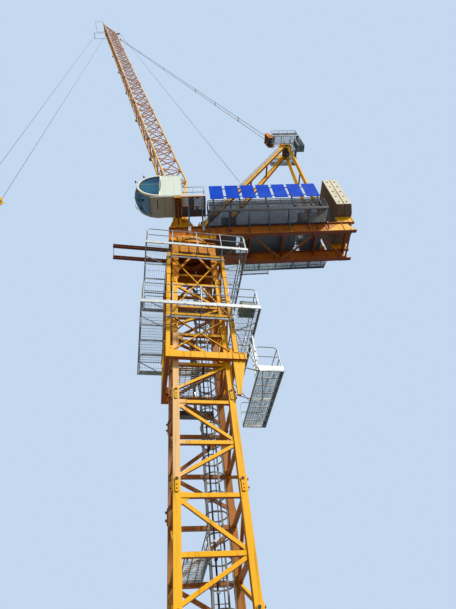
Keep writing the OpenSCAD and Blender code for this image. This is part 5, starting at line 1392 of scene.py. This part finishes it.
fall_x = tip_at.x - groove_r
for name, x, top, replaced in (("free_fall", fall_x, tip_at.z, ["hoist_falls"]),
                               ("fixed_fall", fall_x - falls_apart, tip_at.z - 3.3, [])):
    fall = Shape(upper)
    fall.pipe([(x, 0, block_z), (x, 0, top)], rope_d, 12)
    fall.make(name, strand, ("rope_falls", "hook_block", upper @ Vector((x, 0, top)),
                             upper @ Vector((x, 0, block_z))), *replaced)


# Rope frame at the jib head
# Two galvanised arms swing on the head axle, and the cross bar between them holds the thimble
# and wedge socket of the fixed fall.
arms = Shape(upper @ Matrix.Translation(tip_at))
end_x = -groove_r - falls_apart
for y in (-37, 37):
    arms.turned((0, y, 0), (0, 1, 0), [(-3, 13), (3, 13), (3, 6), (-3, 6)], 32, closed=True)
    arms.pipe([(-10, y, 0), (end_x - 4, y, 0)], 4.5, 12)
    arms.turned((end_x, y, 0), (0, 1, 0), [(-4.5, 5), (4.5, 5)], 20)
arms.pipe([(end_x, -38, 0), (end_x, 38, 0)], 6, 14)
arms.turned((end_x, 0, 0), (0, 1, 0), [(-5, 5), (5, 5)], 24)
arms.box((end_x - 4, -3.5, -22), (end_x + 4, 3.5, -4))
arms.make("rope_frame_arms", zinc, "rope_falls", "tip_frame", edge=0.3)


# Hook block
# Yellow cheek plates hold two rope sheaves. A forged swivel carries the black hook with its
# sprung safety latch.
block_at = upper @ Matrix.Translation((fall_x - falls_apart / 2, 0, block_z))
body_plates, block_parts = Shape(block_at), Shape(block_at)
half_outline = [(16, -44), (76, -36), (90, -22), (96, -4), (90, 12), (80, 24)]
outline = [(-x, z) for x, z in reversed(half_outline)] + half_outline
block_yellow = site_paint("block_yellow", "yellow_paint", rgb(255, 204, 70), rgb(255, 214, 110),
                          rgb(236, 170, 50), 0.2, 0.2)
wheel_x = 58.5
for t in (-1, 1):
    body_plates.plate(outline, "y", t * 12 - 2, t * 12 + 2)
    for x in (-40, 0, 40):
        block_parts.hexagon((x, t * 14, 12), (0, t, 0), 6, 2)
    for x in (-wheel_x, wheel_x):
        block_parts.turned((x, t * 14, 0), (0, t, 0), [(0, 9), (1.6, 9), (1.7, 5.6), (3, 5)], 24)
body_plates.box((-16, -12, -44), (16, 12, -30))
for x in (-78, 0, 78):
    body_plates.pipe([(x, -12, 16), (x, 12, 16)], 5, 12)
body_plates.make("hook_block_cheeks", block_yellow, "hook_block", "hook_block", edge=0.8)
for x in (-wheel_x, wheel_x):
    sheave(block_parts, x, 0, 0, 46, 5)
    block_parts.turned((x, 0, 0), (0, 1, 0), [(-14, 5), (14, 5)], 20)
block_parts.turned((0, 0, -56), (0, 0, 1), [(0, 5.05), (0, 12), (3, 12.6), (11, 12.6), (14, 12),
                                            (14, 5.05)], 32, closed=True)
block_parts.make("hook_block_sheaves", wheel_iron, "hook_block")
forged = plain_coat("forged_hook", "dark_steel", rgb(36, 36, 38), rgb(76, 66, 56), 0.5, 90.0)
hook, latch = Shape(block_at), Shape(block_at)
hook.turned((0, 0, -100), (0, 0, 1), [(0, 4.9), (54.4, 4.9)], 28)
hook.turned((0, 0, -98), (0, 0, 1), [(0, 5.5), (1, 7.5), (9, 7.5), (10, 6)], 28)
bowl_r, bowl_z, bar_r = 22.0, -120, 6


def bowl(degrees, radius=bowl_r):
    """A point on the hook's bowl, at an angle from level at the bowl's centre."""
    a = math.radians(degrees)
    return Vector((radius * math.cos(a), 0, bowl_z + radius * math.sin(a)))


# round bar bent through 310 degrees, thickest under the load and thinner at its tip
rings = []
for i in range(45):
    a = 80 + 310 * i / 44
    mid, out = bowl(a), (bowl(a, bowl_r + 1) - bowl(a)).normalized()
    swell = 1 + 0.28 * math.exp(-((a - 240) / 60) ** 2) - 0.18 * max(0, (a - 340) / 50)
    rings.append([mid + out * (bar_r * swell * math.cos(k)) + Vector((0, bar_r * math.sin(k), 0))
                  for k in (math.tau * j / 20 for j in range(20))])
hook.loft(rings)
hook.turned(bowl(30), bowl(40) - bowl(30),
            [(-6.4, 2), (-5, 4.2), (-2, 5.6), (2, 5.9), (5, 4), (6.4, 2)], 20)
hook.turned(bowl(80), (0, 0, 1), [(-7.4, 2), (-5, 5.5), (0, 7.4), (5, 5.6), (7.4, 3)], 24)
hook.make("forged_hook", forged, "hook", "lifting_hook")
latch.bar(bowl(96, 15), bowl(36, 15.5), 7, 1.2)
latch.turned(bowl(96, 15), (0, 1, 0), [(-4.6, 2), (4.6, 2)], 12)
latch.make("hook_latch", zinc, "hook")


# Studio
# A pale floor under a pale backdrop, with a soft sun high on the right and a dimmer light all
# round. The camera is fitted to the photograph.
bpy.ops.mesh.primitive_plane_add(size=60)
floor = bpy.context.object
floor.name = "studio_floor"
paper = Finish("studio_paper", "", Base_Color=(0.8, 0.82, 0.84, 1), Roughness=0.9)
floor.data.materials.append(paper.material)
floor.visible_diffuse = False


class Backdrop(Finish):
    """The world's nodes, made and joined like those of a finish."""

    def __init__(self, world):
        world.use_nodes = True
        self.tree = world.node_tree
        self.tree.nodes.clear()


# plain sky behind the crane and through its glass, and a dimmer light from everywhere else
world = bpy.data.worlds.new("studio")
bpy.context.scene.world = world
backdrop = Backdrop(world)
dim_light = backdrop.node("Background", {}, {"Color": (0.86, 0.92, 1.0, 1), "Strength": 0.34})
plain_sky = backdrop.node("Background", {}, {"Color": rgb(196, 216, 240), "Strength": 1.0})
seen = backdrop.node("LightPath", {}, {}, "Is Camera Ray")
seen_through = backdrop.node("LightPath", {}, {}, "Is Transmission Ray")
shown = backdrop.node("MixShader", {}, {0: seen.maths("MAXIMUM", seen, seen_through),
                                        1: dim_light, 2: plain_sky})
world_output = backdrop.tree.nodes.new("ShaderNodeOutputWorld")
backdrop.feed(world_output.inputs["Surface"], shown)

sun_data = bpy.data.lights.new("key", "SUN")
sun_data.energy = 3.6
sun_data.angle = math.radians(8)
sun_data.color = (1.0, 0.96, 0.88)
sun = bpy.data.objects.new("key", sun_data)
bpy.context.scene.collection.objects.link(sun)
sun.rotation_euler = Vector((0.55, -0.75, 0.85)).to_track_quat("Z", "Y").to_euler()

# the place, angles in radians and focal length in pixels that fit the photograph
camera_place, photo_tall, focal = (-0.191179, -1.232605, 0.16), 609, 459.03
yaw, pitch, roll = -0.269898, 0.8828, -0.149153
camera_data = bpy.data.cameras.new("camera")
camera = bpy.data.objects.new("camera", camera_data)
bpy.context.scene.collection.objects.link(camera)
bpy.context.scene.camera = camera
ahead = Vector((-math.sin(yaw) * math.cos(pitch), math.cos(yaw) * math.cos(pitch), math.sin(pitch)))
level = Vector((math.cos(yaw), math.sin(yaw), 0))
over = level.cross(ahead)
right = math.cos(roll) * level + math.sin(roll) * over
up = -math.sin(roll) * level + math.cos(roll) * over
turned = Matrix((right, up, -ahead)).transposed().to_4x4()
camera.matrix_world = Matrix.Translation(camera_place) @ turned
camera_data.sensor_fit = "VERTICAL"
camera_data.sensor_height = 36
camera_data.lens = focal * camera_data.sensor_height / photo_tall
camera_data.clip_start = 0.01
camera_data.clip_end = 200
bpy.context.scene.view_settings.view_transform = "Standard"
